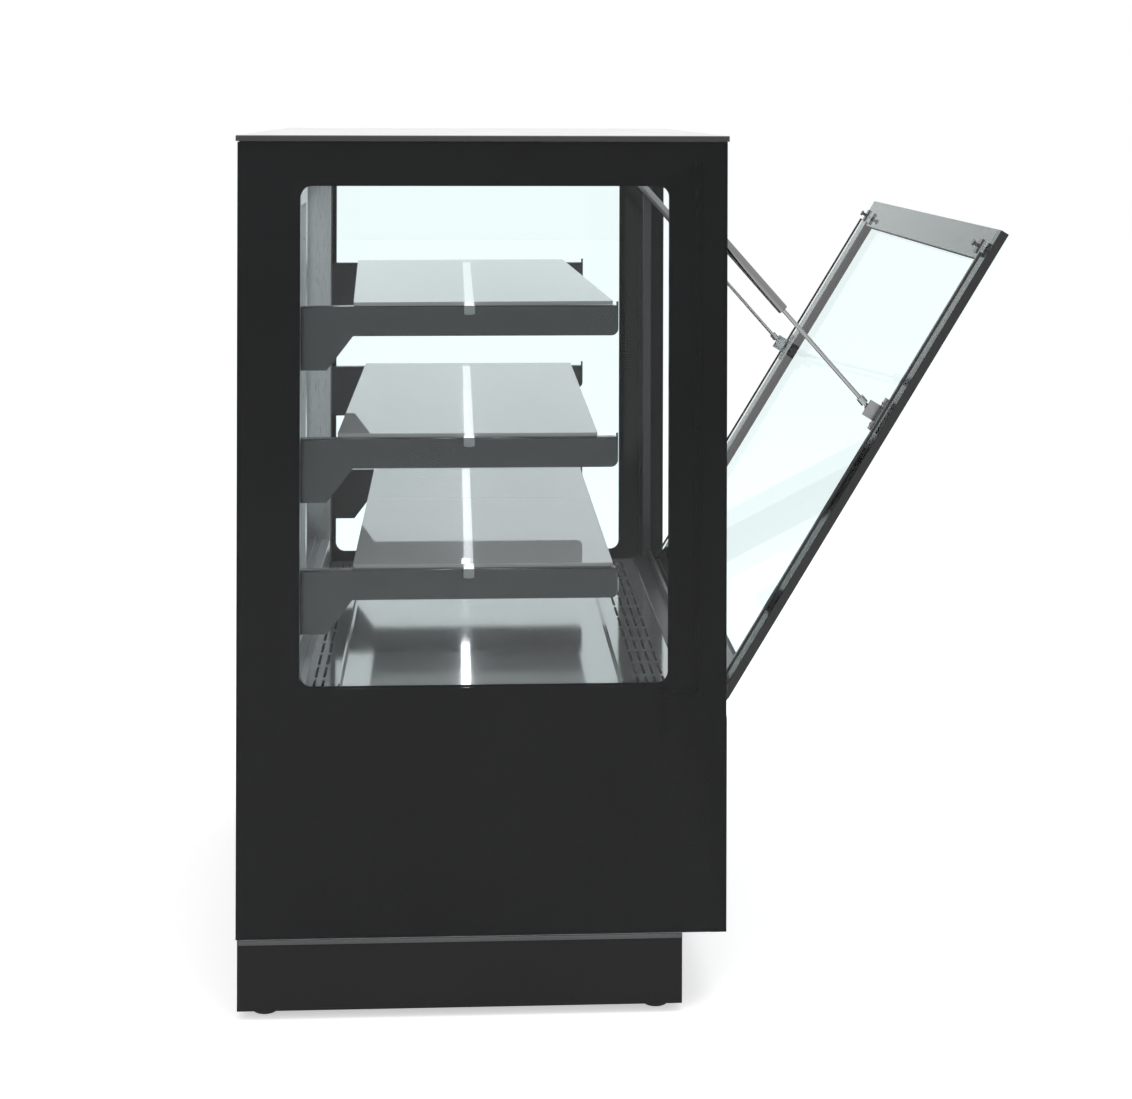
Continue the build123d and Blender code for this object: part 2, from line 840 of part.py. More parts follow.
def fan_blades(plane, tip_radius):
    """A hub with twisted flat blades, its axis along the plane's normal."""
    turn(plane, fan_hub_radius, fan_hub_length)
    with BuildSketch(plane) as bore:
        Circle(fan_shaft_radius + running_clearance)
    extrude(bore.sketch, amount=fan_hub_length, mode=Mode.SUBTRACT)
    blade_root = fan_hub_radius - fan_blade_thickness
    blade_tip = tip_radius - fan_blade_tip_clearance
    pitch = math.radians(fan_blade_pitch_deg)
    for index in range(fan_blade_count):
        spin = 2 * math.pi * index / fan_blade_count
        radial = plane.x_dir * math.cos(spin) + plane.y_dir * math.sin(spin)
        tangent = plane.y_dir * math.cos(spin) - plane.x_dir * math.sin(spin)
        tilted = plane.z_dir * math.cos(pitch) + tangent * math.sin(pitch)
        blade_plane = Plane(plane.offset(fan_hub_length / 2).origin, x_dir=radial, z_dir=tilted)
        with BuildSketch(blade_plane) as outline:
            with BuildLine():
                Polyline(
                    (blade_root, -fan_blade_root_half),
                    (blade_root, fan_blade_root_half),
                    (blade_tip, fan_blade_tip_half),
                    (blade_tip, -fan_blade_tip_half),
                    close=True,
                )
            make_face()
            fillet(outline.vertices().sort_by(Axis.X)[-2:], fan_blade_corner)
        extrude(outline.sketch, amount=fan_blade_thickness / 2, both=True)


# Evaporator coil and its fan, in the tub

coil_back = evaporator_back
fin_count = int(evaporator_length / fin_pitch) + 1
with BuildPart() as evaporator_coil:
    for index in range(fin_count):
        fin_x = (index - (fin_count - 1) / 2) * fin_pitch
        fill(
            (fin_x - fin_thickness / 2, fin_x + fin_thickness / 2),
            (coil_back, coil_front),
            (evaporator_low, evaporator_high),
        )
    for row in range(coil_rows):
        for line in (-1, 1):
            tube_z = (evaporator_low + evaporator_high) / 2 + line * coil_tube_pitch / 2
            tube_depth = (coil_back + coil_front) / 2 + (row - 1) * coil_tube_pitch
            turn(
                Plane(
                    origin=(-coil_half - coil_tube_reach, at_depth(tube_depth), tube_z),
                    x_dir=(0, 1, 0),
                    z_dir=(1, 0, 0),
                ),
                coil_tube_radius,
                2 * (coil_half + coil_tube_reach),
            )
    for side, word in sides:
        fill(
            spread(side, coil_half + coil_plate_gap, coil_half + 2 * coil_plate_gap),
            (coil_back, coil_front),
            (cavity_low, evaporator_high),
        )
hand_over(evaporator_coil, "evaporator_coil")

frame_back = coil_front + evaporator_fan_gap
frame_front = frame_back + fan_frame_thickness
blade_back = frame_back - fan_hub_length / 2 + fan_frame_thickness / 2
motor_back = blade_back + fan_hub_length + fan_tip_gap
fan_hole = evaporator_fan_radius + fan_tip_gap
with BuildPart() as evaporator_fan_frame:
    fill((-cavity_half, cavity_half), (frame_back, frame_front), (cavity_low, deck_support))
    turn(depth_plane(0, frame_back, evaporator_fan_height), fan_hole, fan_frame_thickness, Mode.SUBTRACT)
    turn(depth_plane(0, motor_back, evaporator_fan_height), fan_motor_radius, fan_motor_length)
    turn(depth_plane(0, blade_back, evaporator_fan_height), fan_shaft_radius, motor_back - blade_back)
    for side, word in sides:
        stay_outer = fan_hole + fan_stay_width
        fill(
            spread(side, fan_motor_radius - fan_stay_thickness, stay_outer),
            (motor_back, motor_back + fan_stay_thickness),
            (evaporator_fan_height - fan_stay_width / 2, evaporator_fan_height + fan_stay_width / 2),
        )
        fill(
            spread(side, fan_hole + fan_stay_thickness, stay_outer),
            (frame_front, motor_back),
            (evaporator_fan_height - fan_stay_width / 2, evaporator_fan_height + fan_stay_width / 2),
        )
hand_over(evaporator_fan_frame, "evaporator_fan_frame")

with BuildPart() as evaporator_fan_blade:
    fan_blades(depth_plane(0, blade_back, evaporator_fan_height), evaporator_fan_radius)
hand_over(evaporator_fan_blade, "evaporator_fan_blade")

# Compressor on rubber grommets

shell_low = floor_top + grommet_height + compressor_plate_thickness
with BuildPart() as compressor:
    compressor_spot = (compressor_x, at_depth(compressor_depth))
    with BuildSketch(Plane(origin=(*compressor_spot, shell_low), x_dir=(1, 0, 0), z_dir=(0, -1, 0))) as profile:
        with BuildLine():
            shoulder = compressor_height - compressor_dome
            Polyline((0, 0), (compressor_radius, 0), (compressor_radius, shoulder / 2))
            Polyline(
                (compressor_radius, shoulder / 2),
                (compressor_radius + compressor_seam, shoulder / 2),
                (compressor_radius + compressor_seam, shoulder / 2 + compressor_seam),
                (compressor_radius, shoulder / 2 + compressor_seam),
                (compressor_radius, shoulder),
            )
            Spline(
                (compressor_radius, shoulder),
                (0, compressor_height),
                tangents=((0, 1), (-1, 0)),
            )
            Line((0, compressor_height), (0, 0))
        make_face()
    revolve(profile.sketch, Axis((*compressor_spot, 0), (0, 0, 1)))
    with BuildSketch(Plane.XY.offset(floor_top + grommet_height)) as plate:
        with Locations(compressor_spot):
            RectangleRounded(2 * compressor_plate_half, 2 * compressor_plate_half, grommet_radius)
    extrude(plate.sketch, amount=compressor_plate_thickness)
hand_over(compressor, "compressor")

grommet_reach = compressor_plate_half - grommet_radius
with BuildPart() as compressor_feet:
    with BuildSketch(Plane.XY.offset(floor_top)):
        with Locations(compressor_spot):
            with GridLocations(2 * grommet_reach, 2 * grommet_reach, 2, 2):
                Circle(grommet_radius)
    extrude(amount=grommet_height)
hand_over(compressor_feet, "compressor_feet")

# Condenser with its fan

condenser_front = condenser_back + condenser_depth
condenser_high = condenser_low + condenser_height
condenser_x_low = condenser_x - condenser_length / 2
condenser_fins = int(condenser_length / fin_pitch * 2) + 1
with BuildPart() as condenser_coil:
    for index in range(condenser_fins):
        fin_x = condenser_x + (index - (condenser_fins - 1) / 2) * fin_pitch / 2
        fill(
            (fin_x - fin_thickness / 2, fin_x + fin_thickness / 2),
            (condenser_back, condenser_front),
            (condenser_low, condenser_high),
        )
    for row in range(condenser_rows):
        tube_z = condenser_low + (row + 0.5) * condenser_height / 6
        for line in (-1, 1):
            tube_depth = (condenser_back + condenser_front) / 2 + line * coil_tube_pitch / 2
            turn(
                Plane(
                    origin=(condenser_x_low - coil_tube_reach, at_depth(tube_depth), tube_z),
                    x_dir=(0, 1, 0),
                    z_dir=(1, 0, 0),
                ),
                coil_tube_radius,
                condenser_length + 2 * coil_tube_reach,
            )
    for edge_x in (condenser_x_low - 2 * coil_plate_gap, condenser_x_high + coil_plate_gap):
        fill((edge_x, edge_x + coil_plate_gap), (condenser_back, condenser_front), (floor_top, condenser_high))
hand_over(condenser_coil, "condenser_coil")

shroud_back = condenser_front
shroud_depth = condenser_fan_gap + fan_frame_thickness
shroud_front = shroud_back + shroud_depth
condenser_fan_z = (condenser_low + condenser_high) / 2
condenser_hole = condenser_fan_radius + fan_tip_gap
condenser_blade_back = shroud_front - fan_hub_length / 2
condenser_motor_back = condenser_blade_back + fan_hub_length + fan_tip_gap
with BuildPart() as condenser_fan_frame:
    fill((condenser_x_low, condenser_x_high), (shroud_back, shroud_front), (floor_top, condenser_high))
    fill(
        (condenser_x_low + fan_frame_thickness, condenser_x_high - fan_frame_thickness),
        (shroud_back, shroud_front - fan_frame_thickness),
        (condenser_low, condenser_high - fan_frame_thickness),
        Mode.SUBTRACT,
    )
    turn(
        depth_plane(condenser_x, shroud_front - fan_frame_thickness, condenser_fan_z),
        condenser_hole,
        fan_frame_thickness,
        Mode.SUBTRACT,
    )
    turn(
        depth_plane(condenser_x, condenser_motor_back, condenser_fan_z),
        condenser_motor_radius,
        condenser_motor_length,
    )
    turn(
        depth_plane(condenser_x, condenser_blade_back, condenser_fan_z),
        fan_shaft_radius,
        fan_hub_length + fan_tip_gap,
    )
    for side, word in sides:
        stay_x = [
            condenser_x + side * reach
            for reach in (condenser_motor_radius - fan_stay_thickness, condenser_hole + fan_stay_width)
        ]
        post_x = [
            condenser_x + side * reach
            for reach in (condenser_hole + fan_stay_thickness, condenser_hole + fan_stay_width)
        ]
        stay_z = (condenser_fan_z - fan_stay_width / 2, condenser_fan_z + fan_stay_width / 2)
        fill(
            tuple(sorted(stay_x)),
            (condenser_motor_back, condenser_motor_back + fan_stay_thickness),
            stay_z,
        )
        fill(tuple(sorted(post_x)), (shroud_front, condenser_motor_back), stay_z)
hand_over(condenser_fan_frame, "condenser_fan_frame")

with BuildPart() as condenser_fan_blade:
    fan_blades(depth_plane(condenser_x, condenser_blade_back, condenser_fan_z), condenser_fan_radius)
hand_over(condenser_fan_blade, "condenser_fan_blade")

# Refrigerant pipes and the filter drier


def run_pipe(points):
    """A round pipe along a route with equal bends."""
    with BuildLine(mode=Mode.PRIVATE) as route:
        FilletPolyline(*points, radius=pipe_bend)
    start = route.line @ 0
    heading = route.line % 0
    with BuildSketch(Plane(origin=start, z_dir=heading)) as section:
        Circle(pipe_radius)
    sweep(section.sketch, path=route.line)


pipe_level = floor_top + grommet_height + 2 * compressor_height / 3
coil_middle_z = (evaporator_low + evaporator_high) / 2
tube_low_z = coil_middle_z - coil_tube_pitch / 2
tube_high_z = coil_middle_z + coil_tube_pitch / 2
coil_end_x = coil_half + coil_tube_reach
first_tube_z = condenser_low + condenser_height / 12
last_tube_z = condenser_high - condenser_height / 12
condenser_end_x = condenser_x_high + coil_tube_reach
condenser_tube_y = at_depth((condenser_back + condenser_front) / 2 + coil_tube_pitch / 2)
compressor_y = at_depth(compressor_depth)
suction_y = at_depth(suction_depth)
liquid_y = at_depth(liquid_depth)
drier_back = drier_depth - drier_length / 2
drier_front = drier_depth + drier_length / 2
with BuildPart() as refrigerant_pipes:
    run_pipe(
        [
            (condenser_end_x, condenser_tube_y, last_tube_z),
            (condenser_x_high + discharge_offset, condenser_tube_y, last_tube_z),
            (condenser_x_high + discharge_offset, compressor_y, last_tube_z),
            (condenser_x_high + discharge_offset, compressor_y, pipe_level),
            (compressor_x - compressor_radius, compressor_y, pipe_level),
        ]
    )
    run_pipe(
        [
            (condenser_end_x, condenser_tube_y, first_tube_z),
            (drier_x, condenser_tube_y, first_tube_z),
            (drier_x, at_depth(drier_back), first_tube_z),
        ]
    )
    turn(depth_plane(drier_x, drier_back, first_tube_z), drier_radius, drier_length)
    run_pipe(
        [
            (drier_x, at_depth(drier_front), first_tube_z),
            (drier_x, liquid_y, first_tube_z),
            (drier_x, liquid_y, tube_low_z),
            (-coil_end_x - liquid_side_offset, liquid_y, tube_low_z),
            (-coil_end_x - liquid_side_offset, suction_y, tube_low_z),
            (-coil_end_x, suction_y, tube_low_z),
        ]
    )
    run_pipe(
        [
            (coil_end_x, suction_y, tube_high_z),
            (suction_x, suction_y, tube_high_z),
            (suction_x, suction_y, pipe_level),
            (suction_x, compressor_y, pipe_level),
            (compressor_x + compressor_radius, compressor_y, pipe_level),
        ]
    )
hand_over(refrigerant_pipes, "refrigerant_pipes")

# Tray that catches the melt water under the tub

with BuildPart() as drain_tray:
    tray_x = (drain_tray_x - drain_tray_length / 2, drain_tray_x + drain_tray_length / 2)
    tray_depth = (drain_tray_depth - drain_tray_width / 2, drain_tray_depth + drain_tray_width / 2)
    fill(tray_x, tray_depth, (floor_top, floor_top + drain_tray_height))
    fill(
        (tray_x[0] + drain_tray_wall, tray_x[1] - drain_tray_wall),
        (tray_depth[0] + drain_tray_wall, tray_depth[1] - drain_tray_wall),
        (floor_top + drain_tray_wall, floor_top + drain_tray_height),
        Mode.SUBTRACT,
    )
    with BuildSketch(Plane.XY.offset(tub_low - drain_pipe_drop)) as pipe:
        with Locations((drain_tray_x, at_depth(drain_tray_depth))):
            Circle(drain_pipe_radius)
            Circle(drain_pipe_radius - drain_tray_wall, mode=Mode.SUBTRACT)
    extrude(pipe.sketch, amount=drain_pipe_drop)
hand_over(drain_tray, "drain_tray")

# Front lower panel, a folded sheet

front_panel_front = case_depth
with BuildPart() as front_panel:
    fill((-body_half, body_half), (front_panel_back, front_panel_front), (panel_bottom, front_panel_top))
    fill(
        (front_panel_sheet - body_half, body_half - front_panel_sheet),
        (front_panel_back, front_panel_front - front_panel_sheet),
        (panel_bottom + front_panel_sheet, front_panel_top - front_panel_sheet),
        Mode.SUBTRACT,
    )
hand_over(front_panel, "front_panel")

# Rear lower panel with louvres and cut-outs for the controls and the inlet

panel_low_z = panel_bottom + rear_panel_gap
panel_high_z = deck_support - rear_panel_gap
panel_span = (rear_panel_depth, rear_panel_depth + rear_panel_sheet)
rocker_places = {
    "power": control_x - rocker_centre - rocker_pitch,
    "light": control_x - rocker_centre,
}
inlet_body_x = (
    inlet_x - inlet_opening_width / 2 - inlet_wall,
    inlet_x + inlet_opening_width / 2 + inlet_wall,
)
inlet_body_z = (
    inlet_height - inlet_opening_height / 2 - inlet_wall,
    inlet_height + inlet_opening_height / 2 + inlet_wall,
)
with BuildPart() as rear_panel:
    fill((-body_half, body_half), panel_span, (panel_low_z, panel_high_z))
    for louvre_x in (condenser_x, -condenser_x):
        for index in range(louvre_count):
            louvre_z = louvre_low + index * louvre_pitch
            fill(
                (louvre_x - louvre_length / 2, louvre_x + louvre_length / 2),
                panel_span,
                (louvre_z, louvre_z + louvre_height),
                Mode.SUBTRACT,
            )
    fill(
        (control_x - controller_width / 2 + bezel_flange, control_x + controller_width / 2 - bezel_flange),
        panel_span,
        (control_height - controller_height / 2 + bezel_flange, control_height + controller_height / 2 - bezel_flange),
        Mode.SUBTRACT,
    )
    for rocker_x in rocker_places.values():
        fill(
            (
                rocker_x - rocker_width / 2 - rocker_opening_gap,
                rocker_x + rocker_width / 2 + rocker_opening_gap,
            ),
            panel_span,
            (
                control_height - rocker_height / 2 - rocker_opening_gap,
                control_height + rocker_height / 2 + rocker_opening_gap,
            ),
            Mode.SUBTRACT,
        )
    fill(
        (inlet_body_x[0] - fit_gap, inlet_body_x[1] + fit_gap),
        panel_span,
        (inlet_body_z[0] - fit_gap, inlet_body_z[1] + fit_gap),
        Mode.SUBTRACT,
    )
hand_over(rear_panel, "rear_panel")

# Controller with a bezel and a bare display window, and the switch housings beside it

bezel_span = (rear_panel_depth - bezel_proud, rear_panel_depth)
body_x = (
    control_x - controller_width / 2 + bezel_flange + fit_gap,
    control_x + controller_width / 2 - bezel_flange - fit_gap,
)
body_z = (
    control_height - controller_height / 2 + bezel_flange + fit_gap,
    control_height + controller_height / 2 - bezel_flange - fit_gap,
)
display_x = control_x + controller_width / 4 - bezel_flange
display_half = (controller_width / 4 - bezel_flange, controller_height / 4)
button_row = [display_x - display_half[0] - (button_lead + button_pitch * index) for index in range(len(button_names))]
button_bore = button_radius + fit_gap
button_back = rear_panel_depth - bezel_proud - button_proud
button_stop = rear_panel_depth + button_travel + fit_gap
housing_span = (rear_panel_depth - bezel_proud, rear_panel_depth + controller_body_depth / 2)
well_half = (rocker_width / 2 + fit_gap, rocker_height / 2 + fit_gap)
pin_depth = rear_panel_depth + rocker_pin_radius + rocker_pin_setback
with BuildPart() as control_housings:
    fill(
        (control_x - controller_width / 2, control_x + controller_width / 2),
        bezel_span,
        (control_height - controller_height / 2, control_height + controller_height / 2),
    )
    fill(body_x, (rear_panel_depth, rear_panel_depth + controller_body_depth), body_z)
    fill(
        (display_x - display_half[0], display_x + display_half[0]),
        (bezel_span[0], bezel_span[0] + bezel_proud / 4),
        (control_height - display_half[1], control_height + display_half[1]),
        Mode.SUBTRACT,
    )
    for button_x in button_row:
        turn(
            depth_plane(button_x, bezel_span[0], control_height),
            button_bore,
            button_stop + button_skirt - bezel_span[0],
            Mode.SUBTRACT,
        )
    for rocker_x in rocker_places.values():
        fill(
            (rocker_x - rocker_housing_width / 2, rocker_x + rocker_housing_width / 2),
            bezel_span,
            (control_height - rocker_housing_height / 2, control_height + rocker_housing_height / 2),
        )
        fill(
            (rocker_x - well_half[0] - rocker_wall, rocker_x + well_half[0] + rocker_wall),
            (rear_panel_depth, housing_span[1]),
            (control_height - well_half[1] - rocker_wall, control_height + well_half[1] + rocker_wall),
        )
        fill(
            (rocker_x - well_half[0], rocker_x + well_half[0]),
            (bezel_span[0], housing_span[1] - rocker_floor),
            (control_height - well_half[1], control_height + well_half[1]),
            Mode.SUBTRACT,
        )
        turn(
            Plane(
                origin=(rocker_x - well_half[0] - rocker_pin_length, at_depth(pin_depth), control_height),
                x_dir=(0, 1, 0),
                z_dir=(1, 0, 0),
            ),
            rocker_pin_radius + running_clearance,
            2 * (well_half[0] + rocker_pin_length),
            Mode.SUBTRACT,
        )
hand_over(control_housings, "control_housings")

for button_name, button_x in zip(button_names, button_row):
    with BuildPart() as button:
        turn(depth_plane(button_x, button_back, control_height), button_radius, button_stop - button_back)
        chamfer(button.faces().sort_by(Axis.Y)[-1].edges(), fit_gap)
    hand_over(button, f"button_{button_name}")

# Rockers on stub pins

rocker_rise = rocker_height / 2 * math.tan(math.radians(rocker_travel_deg))
for rocker_name, rocker_x in rocker_places.items():
    with BuildPart() as rocker:
        with BuildSketch(Plane.YZ.offset(rocker_x - rocker_width / 2)) as profile:
            reach = rocker_height / 2 - rocker_end_gap
            face_y = at_depth(bezel_span[0])
            with BuildLine():
                Polyline(
                    (face_y - rocker_proud, control_height),
                    (face_y - rocker_proud + rocker_rise, control_height + reach),
                    (at_depth(pin_depth) - 1, control_height + reach),
                    (at_depth(pin_depth + rocker_depth / 2), control_height + reach / rocker_taper),
                    (at_depth(pin_depth + rocker_depth / 2), control_height - reach / rocker_taper),
                    (at_depth(pin_depth) - 1, control_height - reach),
                    (face_y - rocker_proud + rocker_rise, control_height - reach),
                    close=True,
                )
            make_face()
        extrude(profile.sketch, amount=rocker_width)
        turn(
            Plane(
                origin=(rocker_x - rocker_width / 2 - rocker_pin_length, at_depth(pin_depth), control_height),
                x_dir=(0, 1, 0),
                z_dir=(1, 0, 0),
            ),
            rocker_pin_radius,
            rocker_width + 2 * rocker_pin_length,
        )
    hand_over(rocker, f"rocker_{rocker_name}")

# Power inlet, bare, with three flat pins in a recess

with BuildPart() as power_inlet:
    inlet_z = (inlet_height - inlet_flange_height / 2, inlet_height + inlet_flange_height / 2)
    fill((inlet_x - inlet_width / 2, inlet_x + inlet_width / 2), bezel_span, inlet_z)
    fill(inlet_body_x, (rear_panel_depth, rear_panel_depth + inlet_depth), inlet_body_z)
    fill(
        (inlet_x - inlet_opening_width / 2, inlet_x + inlet_opening_width / 2),
        (bezel_span[0], rear_panel_depth + inlet_depth - inlet_wall),
        (inlet_height - inlet_opening_height / 2, inlet_height + inlet_opening_height / 2),
        Mode.SUBTRACT,
    )
    for index in (-1, 0, 1):
        pin_centre_x = inlet_x + index * inlet_pin_pitch
        pin_centre_z = inlet_height + (inlet_pin_height / 2 if index == 0 else -inlet_pin_height / 2)
        fill(
            (pin_centre_x - inlet_pin_width / 2, pin_centre_x + inlet_pin_width / 2),
            (rear_panel_depth + inlet_depth - inlet_wall - inlet_pin_length, rear_panel_depth + inlet_depth),
            (pin_centre_z - inlet_pin_height / 2, pin_centre_z + inlet_pin_height / 2),
        )
hand_over(power_inlet, "power_inlet")

# Front glass, drawn in its own plane: across, along from the hinge, and outward


def glass_plane_at(outward):
    """A plane parallel to the open front glass, at a distance outward from its middle."""
    across = Plane(
        origin=(0, at_depth(hinge_depth), hinge_height),
        x_dir=(1, 0, 0),
        z_dir=(0, -math.cos(open_angle), -math.sin(open_angle)),
    )
    return across.offset(outward)


def glass_fill(x_span, along_span, outward_span, mode=Mode.ADD):
    """Adds or cuts a straight block in the plane of the front glass."""
    with BuildSketch(glass_plane_at(outward_span[0])) as outline:
        with Locations(((x_span[0] + x_span[1]) / 2, (along_span[0] + along_span[1]) / 2)):
            Rectangle(x_span[1] - x_span[0], along_span[1] - along_span[0])
    extrude(outline.sketch, amount=outward_span[1] - outward_span[0], mode=mode)


rail_top = hinge_rail_height - front_glass_below_hinge
glass_along = (rail_top, front_glass_above_hinge)
glass_x = (-front_glass_half, front_glass_half)
inner_face = -half_glass
with BuildPart() as front_glass_outer:
    glass_fill(glass_x, glass_along, (half_glass - front_pane, half_glass))
hand_over(front_glass_outer, "front_glass_outer")

with BuildPart() as front_glass_inner:
    glass_fill(glass_x, glass_along, (inner_face, inner_face + front_pane))
hand_over(front_glass_inner, "front_glass_inner")

print_out = half_glass - front_pane
print_in = inner_face + front_pane
with BuildPart() as front_glass_borders:
    for print_span in (
        (print_out - print_thickness, print_out),
        (print_in, print_in + print_thickness),
    ):
        glass_fill(glass_x, glass_along, print_span)
        glass_fill(
            (front_border_side - front_glass_half, front_glass_half - front_border_side),
            (front_border_foot, front_glass_above_hinge - front_border_header),
            print_span,
            Mode.SUBTRACT,
        )
hand_over(front_glass_borders, "front_glass_borders")

with BuildPart() as front_glass_spacer:
    spacer_span = (print_in + print_thickness, print_out - print_thickness)
    glass_fill(glass_x, glass_along, spacer_span)
    ring = front_spacer_inset + front_spacer_width
    glass_fill(
        (ring - front_glass_half, front_glass_half - ring),
        (rail_top + ring, front_glass_above_hinge - ring),
        spacer_span,
        Mode.SUBTRACT,
    )
hand_over(front_glass_spacer, "front_glass_spacer")

with BuildPart() as front_glass_seals:
    for side, word in sides:
        glass_fill(
            spread(side, front_glass_half - seal_side_inset - seal_width, front_glass_half - seal_side_inset),
            (rail_top, front_glass_above_hinge - seal_top_inset),
            (inner_face - seal_height, inner_face),
        )
hand_over(front_glass_seals, "front_glass_seals")

# Hinge rail under the front glass, with bores for the hinge pins

lug_outer = front_glass_half
lug_inner = front_glass_half - hinge_lug_width
hinge_axis_plane = Plane(
    origin=(0, at_depth(hinge_depth), hinge_height),
    x_dir=(0, 1, 0),
    z_dir=(1, 0, 0),
)
with BuildPart() as hinge_rail:
    rail_half_length = lug_inner - fit_gap
    glass_fill(
        (-rail_half_length, rail_half_length),
        (-front_glass_below_hinge, rail_top),
        (inner_face, half_glass),
    )
    for side, word in sides:
        bore_start = spread(side, rail_half_length - hinge_pin_length / 2, rail_half_length)
        turn(
            hinge_axis_plane.offset(bore_start[0]),
            hinge_pin_radius + running_clearance,
            hinge_pin_length / 2,
            Mode.SUBTRACT,
        )
hand_over(hinge_rail, "hinge_rail")

with BuildPart() as hinge_brackets:
    for side, word in sides:
        lug_x = spread(side, lug_inner, lug_outer)
        turn(hinge_axis_plane.offset(lug_x[0]), hinge_lug_radius, hinge_lug_width)
        fill(
            lug_x,
            (beam_front, hinge_depth),
            (hinge_height - hinge_stem_height / 2, hinge_height + hinge_stem_height / 2),
        )
        pin_x = spread(side, lug_inner - hinge_pin_length / 2 + 1, lug_inner)
        turn(hinge_axis_plane.offset(pin_x[0]), hinge_pin_radius, pin_x[1] - pin_x[0])
hand_over(hinge_brackets, "hinge_brackets")

# Latches at the top corners of the front glass

latch_along = front_glass_above_hinge - latch_drop
with BuildPart() as front_glass_latches:
    for side, word in sides:
        latch_x = side * (half_width - latch_inset)
        glass_fill(
            (latch_x - latch_width / 2, latch_x + latch_width / 2),
            (latch_along - latch_length / 2, latch_along + latch_length / 2),
            (inner_face - latch_base, inner_face),
        )
        glass_fill(
            (latch_x - latch_arm_width / 2, latch_x + latch_arm_width / 2),
            (latch_along - latch_arm_width / 2, latch_along + latch_arm_width / 2),
            (inner_face - latch_knob_height, inner_face - latch_base),
        )
        with BuildSketch(glass_plane_at(inner_face - latch_knob_height)) as knob:
            with Locations((latch_x, latch_along)):
                Circle(latch_knob_radius)
        extrude(knob.sketch, amount=latch_base)
hand_over(front_glass_latches, "front_glass_latches")

# Gas struts, drawn from the top pivot down to the foot pivot

strut_x = half_width - strut_inset
foot_depth = (
    hinge_depth + strut_foot_along * math.sin(open_angle) - strut_foot_offset * math.cos(open_angle)
)
foot_height = (
    hinge_height + strut_foot_along * math.cos(open_angle) + strut_foot_offset * math.sin(open_angle)
)
strut_length = math.hypot(foot_depth - strut_top_depth, strut_top_height - foot_height)
strut_direction = (
    0,
    -(foot_depth - strut_top_depth) / strut_length,
    (foot_height - strut_top_height) / strut_length,
)
eye_span = (strut_x - strut_eye_width / 2, strut_x + strut_eye_width / 2)
lug_start = strut_x + strut_tube_radius + fit_gap


def strut_plane(side, along):
    """A plane across the strut at a distance from the top pivot."""
    origin = (
        side * strut_x,
        at_depth(strut_top_depth) + strut_direction[1] * along,
        strut_top_height + strut_direction[2] * along,
    )
    return Plane(origin=origin, x_dir=(1, 0, 0), z_dir=strut_direction)


def pivot_plane(x, depth, z):
    """A plane across X at a strut pivot."""
    return Plane(origin=(x, at_depth(depth), z), x_dir=(0, 1, 0), z_dir=(1, 0, 0))


with BuildPart() as strut_brackets_top:
    for side, word in sides:
        lug_x = spread(side, lug_start, lug_start + strut_lug_thickness)
        fill(
            lug_x,
            (strut_top_depth - strut_lug_half_width, strut_top_depth + strut_lug_half_width),
            (strut_top_height - strut_lug_half_width, cabin_top),
        )
        stud_x = spread(side, eye_span[0] - fit_gap, lug_start)
        turn(
            pivot_plane(stud_x[0], strut_top_depth, strut_top_height),
            strut_stud_radius,
            stud_x[1] - stud_x[0],
        )
        head_x = spread(side, eye_span[0] - fit_gap - strut_stud_head, eye_span[0] - fit_gap)
        turn(
            pivot_plane(head_x[0], strut_top_depth, strut_top_height),
            strut_stud_head_radius,
            strut_stud_head,
        )
hand_over(strut_brackets_top, "strut_brackets_top")

foot_lug_start = strut_x + strut_end_radius + fit_gap
with BuildPart() as strut_brackets_door:
    for side, word in sides:
        glass_fill(
            spread(side, eye_span[0] - strut_stud_head, foot_lug_start + strut_lug_thickness),
            (strut_foot_along - strut_plate_half_height, strut_foot_along + strut_plate_half_height),
            (inner_face - strut_plate_thickness, inner_face),
        )
        glass_fill(
            spread(side, foot_lug_start, foot_lug_start + strut_lug_thickness),
            (strut_foot_along - strut_lug_half_width, strut_foot_along + strut_lug_half_width),
            (-strut_foot_offset - strut_eye_radius, inner_face - strut_plate_thickness),
        )
hand_over(strut_brackets_door, "strut_brackets_door")

